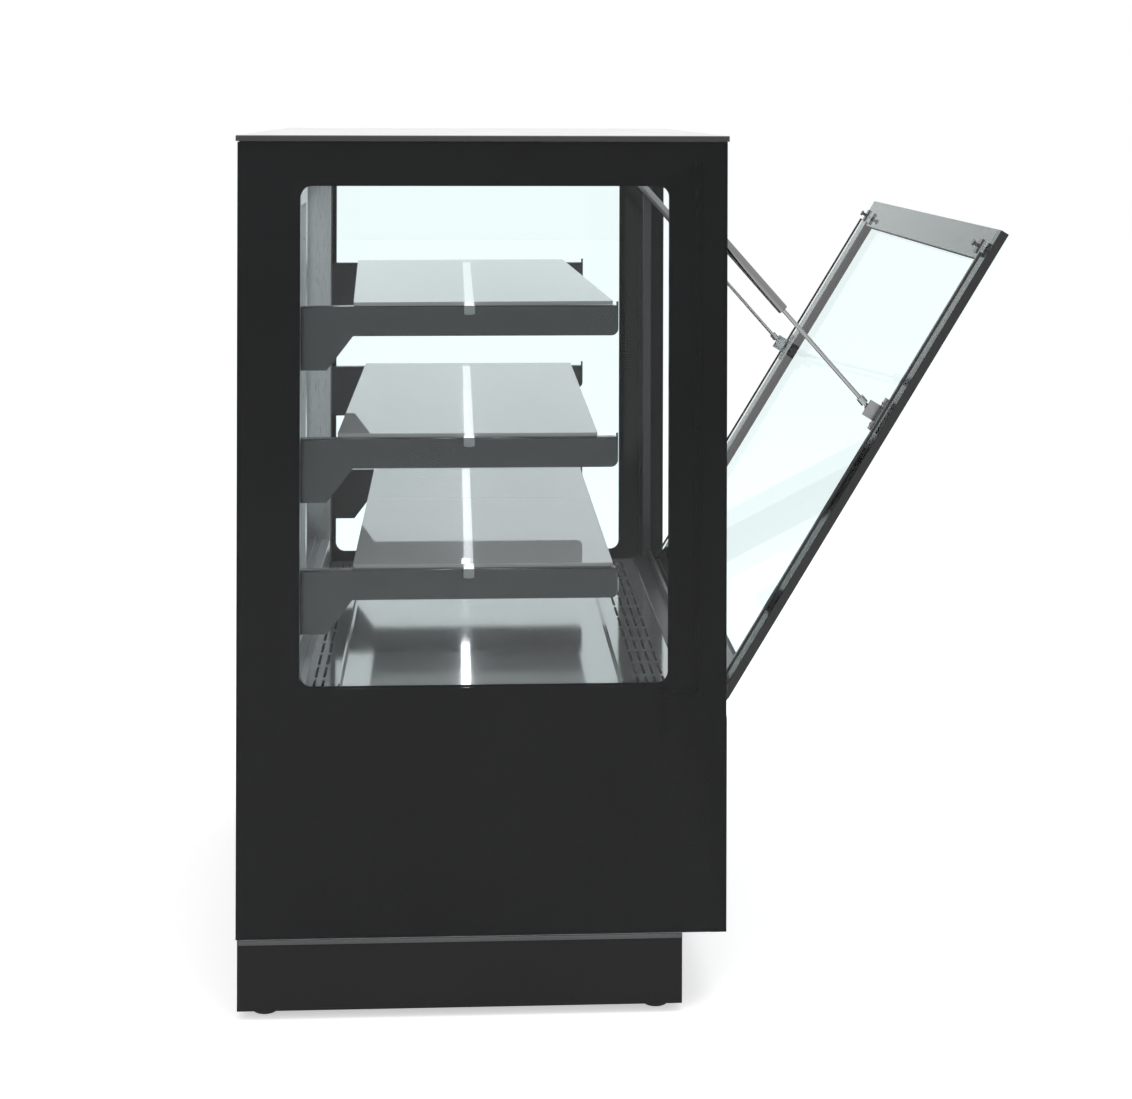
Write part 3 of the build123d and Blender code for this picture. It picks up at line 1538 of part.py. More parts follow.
piston_end = strut_tube_end - strut_cap - strut_piston_length
neck_start = strut_stud_head_radius + fit_gap
for side, word in sides:
    eye_x = spread(side, eye_span[0], eye_span[1])
    with BuildPart() as strut_cylinder:
        turn(strut_plane(side, strut_tube_start), strut_tube_radius, strut_tube_end - strut_tube_start)
        chamfer(strut_cylinder.edges().filter_by(GeomType.CIRCLE), edge_polish)
        turn(pivot_plane(eye_x[0], strut_top_depth, strut_top_height), strut_eye_radius, strut_eye_width)
        turn(strut_plane(side, neck_start), strut_neck_radius, strut_tube_start - neck_start)
        turn(
            pivot_plane(eye_x[0], strut_top_depth, strut_top_height),
            strut_stud_radius + running_clearance,
            strut_eye_width,
            Mode.SUBTRACT,
        )
        turn(
            strut_plane(side, strut_tube_start + strut_cap),
            strut_bore_radius,
            strut_tube_end - strut_tube_start - 2 * strut_cap,
            Mode.SUBTRACT,
        )
        turn(
            strut_plane(side, strut_tube_end - strut_cap),
            strut_rod_radius + running_clearance,
            strut_cap,
            Mode.SUBTRACT,
        )
    hand_over(strut_cylinder, f"strut_cylinder_{word}")
    with BuildPart() as strut_rod:
        turn(strut_plane(side, piston_end), strut_bore_radius - running_clearance, strut_piston_length)
        turn(strut_plane(side, piston_end), strut_rod_radius, strut_length - piston_end)
        turn(strut_plane(side, strut_length - strut_end_length), strut_end_radius, strut_end_length / 2)
        turn(strut_plane(side, strut_length - strut_end_length / 2), strut_neck_radius - 1, strut_end_length / 2)
        turn(pivot_plane(eye_x[0], foot_depth, foot_height), strut_eye_radius, strut_eye_width)
        stud_x = spread(side, eye_span[1], foot_lug_start - fit_gap)
        turn(pivot_plane(stud_x[0], foot_depth, foot_height), strut_stud_radius, stud_x[1] - stud_x[0])
    hand_over(strut_rod, f"strut_rod_{word}")

closed_foot_depth = hinge_depth - strut_foot_offset
closed_foot_height = hinge_height + strut_foot_along
closed_length = math.hypot(closed_foot_depth - strut_top_depth, strut_top_height - closed_foot_height)
open_swing = math.atan2(foot_depth - strut_top_depth, strut_top_height - foot_height)
closed_swing = math.atan2(closed_foot_depth - strut_top_depth, strut_top_height - closed_foot_height)
print("strut stroke", round(strut_length - closed_length, 3))
print("strut swing", round(math.degrees(open_swing - closed_swing), 4))
print("strut direction", [round(part, 6) for part in strut_direction])
print("strut top y", round(at_depth(strut_top_depth), 3), "hinge y", round(at_depth(hinge_depth), 3))
print("back y", round(y_back, 3), "rocker y", round(at_depth(pin_depth), 3))
print("fan y", round(at_depth(blade_back), 3), round(at_depth(condenser_blade_back), 3))
print("condenser fan z", condenser_fan_z, "rockers", rocker_places)
print("door travel", rear_door_side_gap, round(2 * opening_half - 2 * rear_door_side_gap, 3), door_spans)
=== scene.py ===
import json
import math

import bmesh
import bpy
from mathutils import Matrix, Vector


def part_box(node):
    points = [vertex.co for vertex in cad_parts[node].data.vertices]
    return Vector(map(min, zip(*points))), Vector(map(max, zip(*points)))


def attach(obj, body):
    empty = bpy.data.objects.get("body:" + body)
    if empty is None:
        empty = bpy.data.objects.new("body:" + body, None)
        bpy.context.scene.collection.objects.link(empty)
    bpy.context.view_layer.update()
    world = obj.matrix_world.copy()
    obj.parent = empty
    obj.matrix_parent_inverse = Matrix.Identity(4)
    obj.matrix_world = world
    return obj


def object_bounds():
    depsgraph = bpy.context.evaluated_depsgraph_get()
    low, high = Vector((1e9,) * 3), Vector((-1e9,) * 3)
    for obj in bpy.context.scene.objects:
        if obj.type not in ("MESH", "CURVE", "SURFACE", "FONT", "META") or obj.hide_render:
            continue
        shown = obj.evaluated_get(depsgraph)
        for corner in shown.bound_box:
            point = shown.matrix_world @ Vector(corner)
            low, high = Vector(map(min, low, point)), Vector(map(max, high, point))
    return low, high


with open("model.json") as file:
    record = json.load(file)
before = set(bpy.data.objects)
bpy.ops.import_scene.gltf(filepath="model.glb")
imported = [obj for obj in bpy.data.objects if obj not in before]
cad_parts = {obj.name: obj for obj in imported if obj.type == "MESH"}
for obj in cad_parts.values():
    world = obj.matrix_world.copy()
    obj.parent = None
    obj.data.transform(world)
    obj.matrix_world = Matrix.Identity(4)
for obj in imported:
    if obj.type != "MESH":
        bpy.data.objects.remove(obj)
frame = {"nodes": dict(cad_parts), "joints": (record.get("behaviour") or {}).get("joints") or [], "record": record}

# Refrigerated display case: finishes, small hardware, studio and camera.
# Everything is in metres, in the frame of the case: +Z up, the front faces -Y.

cad_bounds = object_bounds()
case_nodes = frame["nodes"]
case_joints = {joint["name"]: joint for joint in frame["joints"]}
MM = 0.001
SAME_PLACE_DIGITS = 6

# Camera, level and looking along +X at the left side of the case, in the photo's own pixels

IMAGE_WIDTH = 1132
IMAGE_HEIGHT = 1099
FOCAL_PIXELS = 2101.0
HORIZON_ROW = 105.3
SENSOR_WIDTH = 36.0
CAMERA_PLACE = Vector((-3.3097, 0.2361, 1.2414))
CAMERA_YAW = math.radians(-3.017)
CAMERA_ROLL = math.radians(0.147)
CLIP_START = 0.05
CLIP_END = 60.0

# Studio

WORLD_STRENGTH = 0.62
SEEN_STRENGTH = 1.0
FLOOR_REACH = 16.0
FLOOR_SEGMENTS = 8
FLOOR_GREY = 0.82
FLOOR_GLOW = 0.52

# Patterns in the finishes: a larger scale gives a finer pattern

WHITE = (1, 1, 1)
EVEN = (1, 1, 1)
GRAIN_DETAIL = 6.0
CLOUD_DETAIL = 4.0
CLOUD_SCALE = 6.0
PATTERN_LOW = 0.3
PATTERN_HIGH = 0.7
RELIEF_DEPTH = 0.2 * MM
COAT_ROUGHNESS = 0.08
PRINT_CLOUD_SCALE = 5.0
PRINT_GRAIN_SCALE = 300.0

# Glass

FACING_BLEND = 0.5
MIRROR_RISE = 5.0
SMEAR_SCALE = 9.0
PANE_SMEARS = (0.005, 0.03)
PRINT_SMEARS = (0.04, 0.08)
PRINT_ROUGHNESS = (0.5, 0.6)
PRINT_MIRROR_GAIN = 1.25
# Roughness of the grey matte layer of painted reflection on the shelves
PAINTED_REFLECTION_ROUGHNESS = 0.5

# The row of diodes in each lamp, also used for the painted glow on the housings

DIODE_SCALE = 18.0
DIODE_GAP_LEVEL = 0.8

# Rounding of the sharp edges of CAD nodes

EDGE_WELD = 0.01 * MM
EDGE_SEGMENTS = 2
EDGE_ANGLE = math.radians(40)
EDGE_WIDTHS = {
    "plinth": 0.8 * MM,
    "base_rail": 0.5 * MM,
    "deck_tray": 0.4 * MM,
    "door_frame": 0.5 * MM,
    "rear_frame": 0.8 * MM,
    "rear_tracks": 0.3 * MM,
    "front_panel": 0.6 * MM,
    "roof_panel": 0.8 * MM,
    "hinge_rail": 0.8 * MM,
    "strut_brackets_top": 0.4 * MM,
    "strut_brackets_door": 0.4 * MM,
    "front_glass_latches": 0.5 * MM,
    "shelf_brackets": 0.4 * MM,
    "lamp_housings": 0.3 * MM,
    "shelf_glass_top": 0.4 * MM,
    "shelf_glass_middle": 0.4 * MM,
    "shelf_glass_bottom": 0.4 * MM,
}

# Screw heads: heights are shares of a head's height, and reaches are shares of its radius

SCREW_RADIUS = 3.4 * MM
SCREW_HEIGHT = 1.1 * MM
SCREW_SIDES = 32
DOME_HEIGHTS = (0.0, 0.45, 0.8, 1.0)
DOME_REACHES = (1.0, 1.0, 0.88, 0.62)
RECESS_MOUTH_HEIGHT = 0.62
RECESS_FLOOR_HEIGHT = 0.55
RECESS_ARM_REACH = 0.42
RECESS_NARROWING = 0.45
RECESS_ARM_POINTS = 2

# Moulded blocks

BLOCK_SEGMENTS = 3
ROUND_PROFILE = 0.5
BLOCK_CREASE = math.radians(50)

# Caps on the ends of the lamps

CAP_OVERLAP = 5 * MM
CAP_PROUD = 0.8 * MM
CAP_DROP = 2 * MM
CAP_ROUNDING = 0.5 * MM
CAP_NOSE_PROUD = 0.3 * MM
CAP_NOSE_INSET = 3 * MM
ROOF_LAMP_REACH = 100 * MM

# Screws in the rear panel, and in the feet of the struts, which are placed from the glass hinge

REAR_SCREW_INSET = 9 * MM
FOOT_ALONG_GLASS = 454.6 * MM
FOOT_SCREW_REACH = 17 * MM
FOOT_SCREW_RADIUS = 2.6 * MM
FOOT_FACE_DEPTH = 14 * MM


def new_material(name):
    """A material with an empty node tree and its output node."""
    material = bpy.data.materials.new(name)
    material.use_nodes = True
    material.node_tree.nodes.clear()
    output = material.node_tree.nodes.new("ShaderNodeOutputMaterial")
    return material, material.node_tree, output


def put(node_tree, kind, inputs=None, **attributes):
    """Adds a node, sets its attributes, and gives its inputs plain values or links."""
    node = node_tree.nodes.new(kind)
    for key, value in attributes.items():
        setattr(node, key, value)
    for key, value in (inputs or {}).items():
        if isinstance(value, bpy.types.NodeSocket):
            node_tree.links.new(value, node.inputs[key])
        else:
            node.inputs[key].default_value = value
    return node


def opaque(colour):
    """A colour with full alpha."""
    return (*colour, 1)


def arithmetic(node_tree, operation, *terms):
    """A Math node over sockets and plain numbers."""
    return put(node_tree, "ShaderNodeMath", dict(enumerate(terms)), operation=operation).outputs[0]


def noise(node_tree, scale, stretch=EVEN, detail=CLOUD_DETAIL):
    """Noise in the object's own coordinates, stretched along the axes."""
    place = put(node_tree, "ShaderNodeTexCoord")
    mapping = put(node_tree, "ShaderNodeMapping", {"Vector": place.outputs["Object"], "Scale": stretch})
    spots = {"Vector": mapping.outputs["Vector"], "Scale": scale, "Detail": detail}
    return put(node_tree, "ShaderNodeTexNoise", spots).outputs["Fac"]


def ramp(node_tree, factor, low, high):
    """Spreads the middle of a noise pattern over a range of values."""
    remap = {
        "Value": factor,
        "From Min": PATTERN_LOW,
        "From Max": PATTERN_HIGH,
        "To Min": low,
        "To Max": high,
    }
    return put(node_tree, "ShaderNodeMapRange", remap).outputs["Result"]


def blend_colour(node_tree, factor, first, second):
    """Mixes two colours by a factor."""
    mix = {"A": opaque(first), "B": opaque(second), "Factor": factor}
    return put(node_tree, "ShaderNodeMix", mix, data_type="RGBA").outputs["Result"]


def relief(node_tree, height, strength):
    """Turns a height into a bumped normal."""
    bump = {"Height": height, "Strength": strength, "Distance": RELIEF_DEPTH}
    return put(node_tree, "ShaderNodeBump", bump).outputs["Normal"]


def mix_shaders(node_tree, factor, first, second):
    """Mixes two shaders by a factor."""
    return put(node_tree, "ShaderNodeMixShader", {0: factor, 1: first, 2: second}).outputs[0]


def surface(
    name, dark, light, roughness, metallic=0.0, grain=40.0, stretch=EVEN, bump=0.1, coat=0.0, specular=0.5
):
    """A solid finish: its colour varies in soft clouds, its roughness and relief with a fine grain."""
    material, node_tree, output = new_material(name)
    pattern = noise(node_tree, grain, stretch, GRAIN_DETAIL)
    cloud = noise(node_tree, CLOUD_SCALE)
    finish = {
        "Base Color": blend_colour(node_tree, cloud, dark, light),
        "Roughness": ramp(node_tree, pattern, *roughness),
        "Metallic": metallic,
        "Specular IOR Level": specular,
        "Coat Weight": coat,
        "Coat Roughness": COAT_ROUGHNESS,
    }
    if bump:
        finish["Normal"] = relief(node_tree, pattern, bump)
    shader = put(node_tree, "ShaderNodeBsdfPrincipled", finish)
    node_tree.links.new(shader.outputs["BSDF"], output.inputs["Surface"])
    return material


def flat_angle_share(node_tree, base, gain):
    """The share of light that a glass face mirrors: small square on, rising at flat angles."""
    facing = put(node_tree, "ShaderNodeLayerWeight", {"Blend": FACING_BLEND}).outputs["Facing"]
    steep = arithmetic(node_tree, "POWER", facing, MIRROR_RISE)
    return arithmetic(node_tree, "MULTIPLY_ADD", steep, gain, base)


def mirror(node_tree, smears):
    """A clear mirror layer with faint smears in its roughness."""
    gloss = {
        "Base Color": opaque(WHITE),
        "Metallic": 1.0,
        "Roughness": ramp(node_tree, noise(node_tree, SMEAR_SCALE), *smears),
    }
    return put(node_tree, "ShaderNodeBsdfPrincipled", gloss).outputs["BSDF"]


def see_through(name, tint, base=0.02, gain=0.96, painted_reflection=0.0, painted_reflection_colour=WHITE):
    """Clear glass: it passes a tinted view, mirrors on its outer faces, and may carry a pale grey layer of painted
    reflection.
    """
    material, node_tree, output = new_material(name)
    body = put(node_tree, "ShaderNodeBsdfTransparent", {"Color": opaque(tint)}).outputs[0]
    # Painted reflection: a pale grey matte layer that stands in for what the glass mirrors
    if painted_reflection:
        pale = {
            "Base Color": opaque(painted_reflection_colour),
            "Roughness": PAINTED_REFLECTION_ROUGHNESS,
            "Specular IOR Level": 0.0,
        }
        painted_reflection_film = put(node_tree, "ShaderNodeBsdfPrincipled", pale).outputs["BSDF"]
        body = mix_shaders(node_tree, painted_reflection, body, painted_reflection_film)
    inner = put(node_tree, "ShaderNodeNewGeometry").outputs["Backfacing"]
    outer = arithmetic(node_tree, "SUBTRACT", 1.0, inner)
    share = arithmetic(node_tree, "MULTIPLY", flat_angle_share(node_tree, base, gain), outer)
    glass = mix_shaders(node_tree, share, body, mirror(node_tree, PANE_SMEARS))
    node_tree.links.new(glass, output.inputs["Surface"])
    return material


def printed(name, dark, light):
    """Enamel fired on the back of glass: near black square on, a mirror at flat angles."""
    material, node_tree, output = new_material(name)
    enamel = {
        "Base Color": blend_colour(node_tree, noise(node_tree, PRINT_CLOUD_SCALE), dark, light),
        "Roughness": ramp(node_tree, noise(node_tree, PRINT_GRAIN_SCALE), *PRINT_ROUGHNESS),
        "Specular IOR Level": 0.0,
    }
    shader = put(node_tree, "ShaderNodeBsdfPrincipled", enamel).outputs["BSDF"]
    share = flat_angle_share(node_tree, base=0.0, gain=PRINT_MIRROR_GAIN)
    glass = mix_shaders(node_tree, share, shader, mirror(node_tree, PRINT_SMEARS))
    node_tree.links.new(glass, output.inputs["Surface"])
    return material


def glowing(name, colour, glow, strength, roughness):
    """A pale finish that glows in a row of diodes along X: a lamp's own light on a lens, painted glow on a
    housing.
    """
    material, node_tree, output = new_material(name)
    place = put(node_tree, "ShaderNodeTexCoord").outputs["Object"]
    row = {"Vector": place, "Scale": DIODE_SCALE, "Distortion": 0.0}
    diodes = put(node_tree, "ShaderNodeTexWave", row, bands_direction="X").outputs["Fac"]
    between = tuple(DIODE_GAP_LEVEL * part for part in glow)
    finish = {
        "Base Color": opaque(colour),
        "Roughness": roughness,
        # On a housing this emission is painted glow, not a lamp
        "Emission Color": blend_colour(node_tree, diodes, between, glow),
        "Emission Strength": strength,
    }
    shader = put(node_tree, "ShaderNodeBsdfPrincipled", finish)
    node_tree.links.new(shader.outputs["BSDF"], output.inputs["Surface"])
    return material


# Materials, one function for each slot of the record


def black_glass():
    """The polished black slab on top."""
    dark = (0.012, 0.012, 0.013)
    light = (0.016, 0.016, 0.018)
    return surface("black_glass", dark, light, roughness=(0.04, 0.09), grain=14.0, bump=0.01, coat=0.4)


def black_paint():
    """Powder coat on the roof panel, the plinth and the lower panels."""
    dark = (0.008, 0.008, 0.0085)
    light = (0.012, 0.012, 0.013)
    return surface("black_paint", dark, light, roughness=(0.5, 0.62), grain=420.0, bump=0.04, specular=0.22)


def black_print():
    """Black print on the back of the panes."""
    dark = (0.007, 0.007, 0.0075)
    light = (0.014, 0.014, 0.015)
    return printed("black_print", dark, light)


def side_panes():
    """The panes in the sides."""
    return see_through("side_panes", tint=(0.984, 0.9995, 0.9995), base=0.012)


def front_panes():
    """The panes in the front glass, which mirror less at flat angles."""
    return see_through("front_panes", tint=(0.968, 0.9995, 0.9995), base=0.01, gain=0.38)


def clear_glass():
    """The panes in the rear doors."""
    return see_through("clear_glass", tint=(0.96, 0.995, 0.99))


def shelf_glass():
    """The shelves, greyed by a layer of painted reflection that stands in for the grey roof mirrored above."""
    return see_through("shelf_glass", tint=(0.93, 0.93, 0.93), painted_reflection=0.55, painted_reflection_colour=(0.62, 0.6, 0.6))


def spacer_bar():
    """The metal bars between the side panes."""
    dark = (0.24, 0.24, 0.25)
    light = (0.3, 0.3, 0.31)
    return surface("spacer_bar", dark, light, roughness=(0.4, 0.5), metallic=1.0, grain=200.0, bump=0.05)


def satin_trim():
    """The base rail, brushed along X."""
    dark = (0.07, 0.07, 0.072)
    light = (0.1, 0.1, 0.102)
    brushed = (1, 40, 40)
    return surface("satin_trim", dark, light, (0.35, 0.48), 1.0, grain=60.0, stretch=brushed, bump=0.02)


def black_rubber():
    """The levelling feet and the compressor's feet."""
    dark = (0.018, 0.018, 0.018)
    light = (0.03, 0.03, 0.03)
    return surface("black_rubber", dark, light, roughness=(0.6, 0.8), grain=500.0, bump=0.3)


def zinc_sheet():
    """Galvanised sheet, in soft clouds, for the chassis and the condenser's fan frame."""
    dark = (0.42, 0.43, 0.44)
    light = (0.6, 0.61, 0.62)
    return surface("zinc_sheet", dark, light, roughness=(0.35, 0.55), metallic=1.0, grain=25.0, bump=0.04)


def tub_liner():
    """The pale liner of the insulated tub."""
    dark = (0.62, 0.63, 0.63)
    light = (0.7, 0.7, 0.7)
    return surface("tub_liner", dark, light, roughness=(0.35, 0.5), grain=300.0)


def polished_steel():
    """The deck, its grilles and the shelf uprights, polished along X."""
    dark = (0.34, 0.34, 0.34)
    light = (0.4, 0.4, 0.4)
    polished = (1, 12, 12)
    return surface("polished_steel", dark, light, (0.05, 0.1), 0.72, grain=30.0, stretch=polished, bump=0.0)


def black_frame():
    """The black frame that the front glass shuts against, and its hinge rail."""
    dark = (0.02, 0.02, 0.021)
    light = (0.03, 0.03, 0.031)
    return surface("black_frame", dark, light, roughness=(0.28, 0.4), grain=260.0, bump=0.06)


def satin_frame():
    """The rear frame and the frames of its doors, brushed along Z."""
    dark = (0.38, 0.38, 0.39)
    light = (0.48, 0.48, 0.49)
    brushed = (30, 30, 1)
    return surface("satin_frame", dark, light, (0.25, 0.38), 1.0, grain=50.0, stretch=brushed, bump=0.04)


def grey_plastic():
    """The rear tracks, the drain tray and the caps of the lamps."""
    dark = (0.2, 0.2, 0.2)
    light = (0.26, 0.26, 0.26)
    return surface("grey_plastic", dark, light, roughness=(0.45, 0.6), grain=350.0, bump=0.2)


def bracket_paint():
    """The smooth black paint of the shelf brackets."""
    dark = (0.016, 0.016, 0.0165)
    light = (0.024, 0.024, 0.0245)
    return surface("bracket_paint", dark, light, roughness=(0.16, 0.24), grain=180.0, bump=0.0)


def lamp_aluminium():
    """The lamps' housings, with a painted glow that stands in for the light of their own diodes."""
    pale = (0.85, 0.86, 0.88)
    glow = (0.95, 0.96, 1.0)
    # Painted glow: the housings emit light, though only the lenses are lamps
    return glowing("lamp_aluminium", pale, glow, strength=1.3, roughness=0.45)


def lamp_lens():
    """The opal lenses of the lamps."""
    pale = (0.9, 0.9, 0.88)
    glow = (0.94, 0.96, 1.0)
    return glowing("lamp_lens", pale, glow, strength=9.0, roughness=0.35)


def fin_aluminium():
    """The finned coils."""
    dark = (0.6, 0.61, 0.62)
    light = (0.7, 0.71, 0.72)
    return surface("fin_aluminium", dark, light, roughness=(0.3, 0.45), metallic=1.0, grain=120.0)


def fan_plastic():
    """The fan blades and the evaporator's fan frame."""
    dark = (0.03, 0.03, 0.03)
    light = (0.05, 0.05, 0.05)
    return surface("fan_plastic", dark, light, roughness=(0.4, 0.55), grain=350.0, bump=0.2)


def compressor_paint():
    """The compressor's glossy black enamel."""
    dark = (0.012, 0.012, 0.012)
    light = (0.02, 0.02, 0.02)
    return surface("compressor_paint", dark, light, roughness=(0.25, 0.4), grain=150.0, bump=0.2, coat=0.3)


def pipe_metal():
    """The copper pipes."""
    dark = (0.52, 0.25, 0.15)
    light = (0.68, 0.36, 0.23)
    return surface("pipe_metal", dark, light, roughness=(0.25, 0.45), metallic=1.0, grain=90.0)


def control_plastic():
    """The housings of the controls and the power inlet."""
    dark = (0.02, 0.02, 0.022)
    light = (0.03, 0.03, 0.033)
    return surface("control_plastic", dark, light, roughness=(0.4, 0.55), grain=600.0, bump=0.3)


def button_plastic():
    """The buttons."""
    dark = (0.25, 0.25, 0.26)
    light = (0.3, 0.3, 0.31)
    return surface("button_plastic", dark, light, roughness=(0.35, 0.5), grain=500.0, bump=0.2)


def rocker_plastic():
    """The shiny rockers."""
    dark = (0.012, 0.012, 0.012)
    light = (0.02, 0.02, 0.02)
    return surface("rocker_plastic", dark, light, roughness=(0.12, 0.2), grain=90.0, bump=0.02)


def black_sealant():
    """The sealant over the spacer between the front panes."""
    dark = (0.008, 0.008, 0.008)
    light = (0.014, 0.014, 0.014)
    return surface("black_sealant", dark, light, roughness=(0.5, 0.65), grain=120.0, bump=0.2)


def seal_rubber():
    """The soft seals of the front glass."""
    dark = (0.010, 0.010, 0.010)
    light = (0.018, 0.018, 0.018)
    return surface("seal_rubber", dark, light, roughness=(0.5, 0.7), grain=400.0, bump=0.2)


def bright_steel():
    """The brackets of the hinges and the struts, and the screws."""
    dark = (0.24, 0.24, 0.245)
    light = (0.34, 0.34, 0.345)
    return surface("bright_steel", dark, light, roughness=(0.22, 0.35), metallic=1.0, grain=150.0, bump=0.0)


def latch_metal():
    """The latches of the front glass."""
    dark = (0.1, 0.1, 0.102)
    light = (0.18, 0.18, 0.182)
    return surface("latch_metal", dark, light, roughness=(0.22, 0.35), metallic=0.9, grain=150.0, bump=0.0)


def strut_tube():
    """The cylinders of the gas struts."""
    dark = (0.2, 0.2, 0.205)
    light = (0.26, 0.26, 0.265)
    return surface("strut_tube", dark, light, roughness=(0.14, 0.2), metallic=1.0, grain=80.0, bump=0.0)


def strut_rod():
    """The rods of the gas struts."""
    dark = (0.3, 0.3, 0.305)
    light = (0.4, 0.4, 0.405)
    return surface("strut_rod", dark, light, roughness=(0.1, 0.16), metallic=1.0, grain=80.0, bump=0.0)


finishes = (
    black_glass,
    black_paint,
    black_print,
    side_panes,
    front_panes,
    clear_glass,
    shelf_glass,
    spacer_bar,
    satin_trim,
    black_rubber,
    zinc_sheet,
    tub_liner,
    polished_steel,
    black_frame,
    satin_frame,
    grey_plastic,
    bracket_paint,
    lamp_aluminium,
    lamp_lens,
    fin_aluminium,
    fan_plastic,
    compressor_paint,
    pipe_metal,
    control_plastic,
    button_plastic,
    rocker_plastic,
    black_sealant,
    seal_rubber,
    bright_steel,
    latch_metal,
    strut_tube,
    strut_rod,
)
materials = {finish.__name__: finish() for finish in finishes}

for entry in frame["record"]["subparts"]:
    node = case_nodes[entry["node"]]
    node.data.materials.clear()
    node.data.materials.append(materials[entry["material_slot"]])


def soften(name, width):
    """Rounds a node's sharp edges a little, so that they catch the light."""
    node = case_nodes[name]
    weld = node.modifiers.new("weld", "WELD")
    weld.merge_threshold = EDGE_WELD
    bevel = node.modifiers.new("bevel", "BEVEL")
    bevel.width = width
    bevel.segments = EDGE_SEGMENTS
    bevel.limit_method = "ANGLE"
    bevel.angle_limit = EDGE_ANGLE
    bevel.harden_normals = True


for name, width in EDGE_WIDTHS.items():
    soften(name, width)


# Small hardware


def add_piece(name, builder, slot, body):
    """Turns a finished mesh into a smooth piece that rides on a body."""
    for face in builder.faces:
        face.smooth = True
    mesh = bpy.data.meshes.new(name)
    builder.to_mesh(mesh)
    builder.free()
    mesh.materials.append(materials[slot])
    piece = bpy.data.objects.new(name, mesh)
    bpy.context.scene.collection.objects.link(piece)
    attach(piece, body)
    return piece


def recess_reach(index, reach):
    """How far a point on the mouth of a cross recess lies out: full on its arms, short between them."""
    quarter = SCREW_SIDES // 4
    from_arm = min(index % quarter, quarter - index % quarter)
    return reach if from_arm <= RECESS_ARM_POINTS else reach * RECESS_NARROWING


def screw_ring(builder, height, reaches):
    """A ring of points round a screw's axis, one for each reach."""
    ring = []
    for index, reach in enumerate(reaches):
        angle = 2 * math.pi * index / SCREW_SIDES
        ring.append(builder.verts.new((reach * math.cos(angle), reach * math.sin(angle), height)))
    return ring


def screw_head(builder, place, radius):
    """A domed head with a cross recess, made of rings from its rim in to the floor of the recess."""
    rings = []
    for height, share in zip(DOME_HEIGHTS, DOME_REACHES):
        rings.append(screw_ring(builder, height * SCREW_HEIGHT, [radius * share] * SCREW_SIDES))
    mouth = [recess_reach(index, radius * RECESS_ARM_REACH) for index in range(SCREW_SIDES)]
    rings.append(screw_ring(builder, RECESS_MOUTH_HEIGHT * SCREW_HEIGHT, mouth))
    middle = builder.verts.new((0, 0, RECESS_FLOOR_HEIGHT * SCREW_HEIGHT))
    for outer, inner in zip(rings, rings[1:]):
        for index in range(SCREW_SIDES):
            follow = (index + 1) % SCREW_SIDES
            builder.faces.new((outer[index], outer[follow], inner[follow], inner[index]))
    for index in range(SCREW_SIDES):
        follow = (index + 1) % SCREW_SIDES
        builder.faces.new((rings[-1][index], rings[-1][follow], middle))
    points = [vertex for ring in rings for vertex in ring]
    bmesh.ops.transform(builder, matrix=place, verts=[*points, middle])


def screw_heads(name, spots, facing, slot, body, radius=SCREW_RADIUS):
    """One piece of several screw heads, set on a face that looks along facing."""
    builder = bmesh.new()
    turn = Vector((0, 0, 1)).rotation_difference(Vector(facing)).to_matrix().to_4x4()
    for spot in spots:
        screw_head(builder, Matrix.Translation(spot) @ turn, radius)
    add_piece(name, builder, slot, body)


def block(builder, low, high, radius):
    """A moulded block with rounded edges between two corners."""
    made = bmesh.ops.create_cube(builder, size=1.0)["verts"]
    span = [upper - lower for lower, upper in zip(low, high)]
    middle = [(upper + lower) / 2 for lower, upper in zip(low, high)]
    bmesh.ops.scale(builder, vec=span, verts=made)
    bmesh.ops.translate(builder, vec=middle, verts=made)
    edges = list(dict.fromkeys(edge for vertex in made for edge in vertex.link_edges))
    rounding = {"offset": radius, "segments": BLOCK_SEGMENTS, "profile": ROUND_PROFILE}
    bmesh.ops.bevel(builder, geom=edges, affect="EDGES", **rounding)


def block_piece(name, blocks, radius, slot, body):
    """One piece made of several moulded blocks."""
    builder = bmesh.new()
    for low, high in blocks:
        block(builder, low, high, radius)
    piece = add_piece(name, builder, slot, body)
    piece.data.set_sharp_from_angle(angle=BLOCK_CREASE)


def box_round(points):
    """The lowest and the highest corner of some points."""
    low = tuple(min(point[axis] for point in points) for axis in range(3))
    high = tuple(max(point[axis] for point in points) for axis in range(3))
    return low, high


def node_parts(name):
    """The boxes of a node's separate solids, from the lowest up.

    The mesh is split along its sharp edges, so points in the same place are joined first.
    """
    mesh = case_nodes[name].data
    owner = list(range(len(mesh.vertices)))

    def root(index):
        while owner[index] != index:
            owner[index] = owner[owner[index]]
            index = owner[index]
        return index

    places = {}
    for vertex in mesh.vertices:
        place = tuple(round(part, SAME_PLACE_DIGITS) for part in vertex.co)
        owner[vertex.index] = root(places.setdefault(place, vertex.index))
    for edge in mesh.edges:
        owner[root(edge.vertices[0])] = root(edge.vertices[1])
    groups = {}
    for vertex in mesh.vertices:
        groups.setdefault(root(vertex.index), []).append(vertex.co)
    return sorted((box_round(group) for group in groups.values()), key=lambda box: box[0][2])


def rear_panel_screws():
    """Three screws up each side of the rear panel."""
    low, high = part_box("rear_panel")
    rows = (low[2] + REAR_SCREW_INSET, (low[2] + high[2]) / 2, high[2] - REAR_SCREW_INSET)
    columns = (low[0] + REAR_SCREW_INSET, high[0] - REAR_SCREW_INSET)
    spots = [(x, high[1], z) for x in columns for z in rows]
    rearward = (0, 1, 0)
    screw_heads("rear_panel_screws", spots, rearward, "bright_steel", "cabinet")


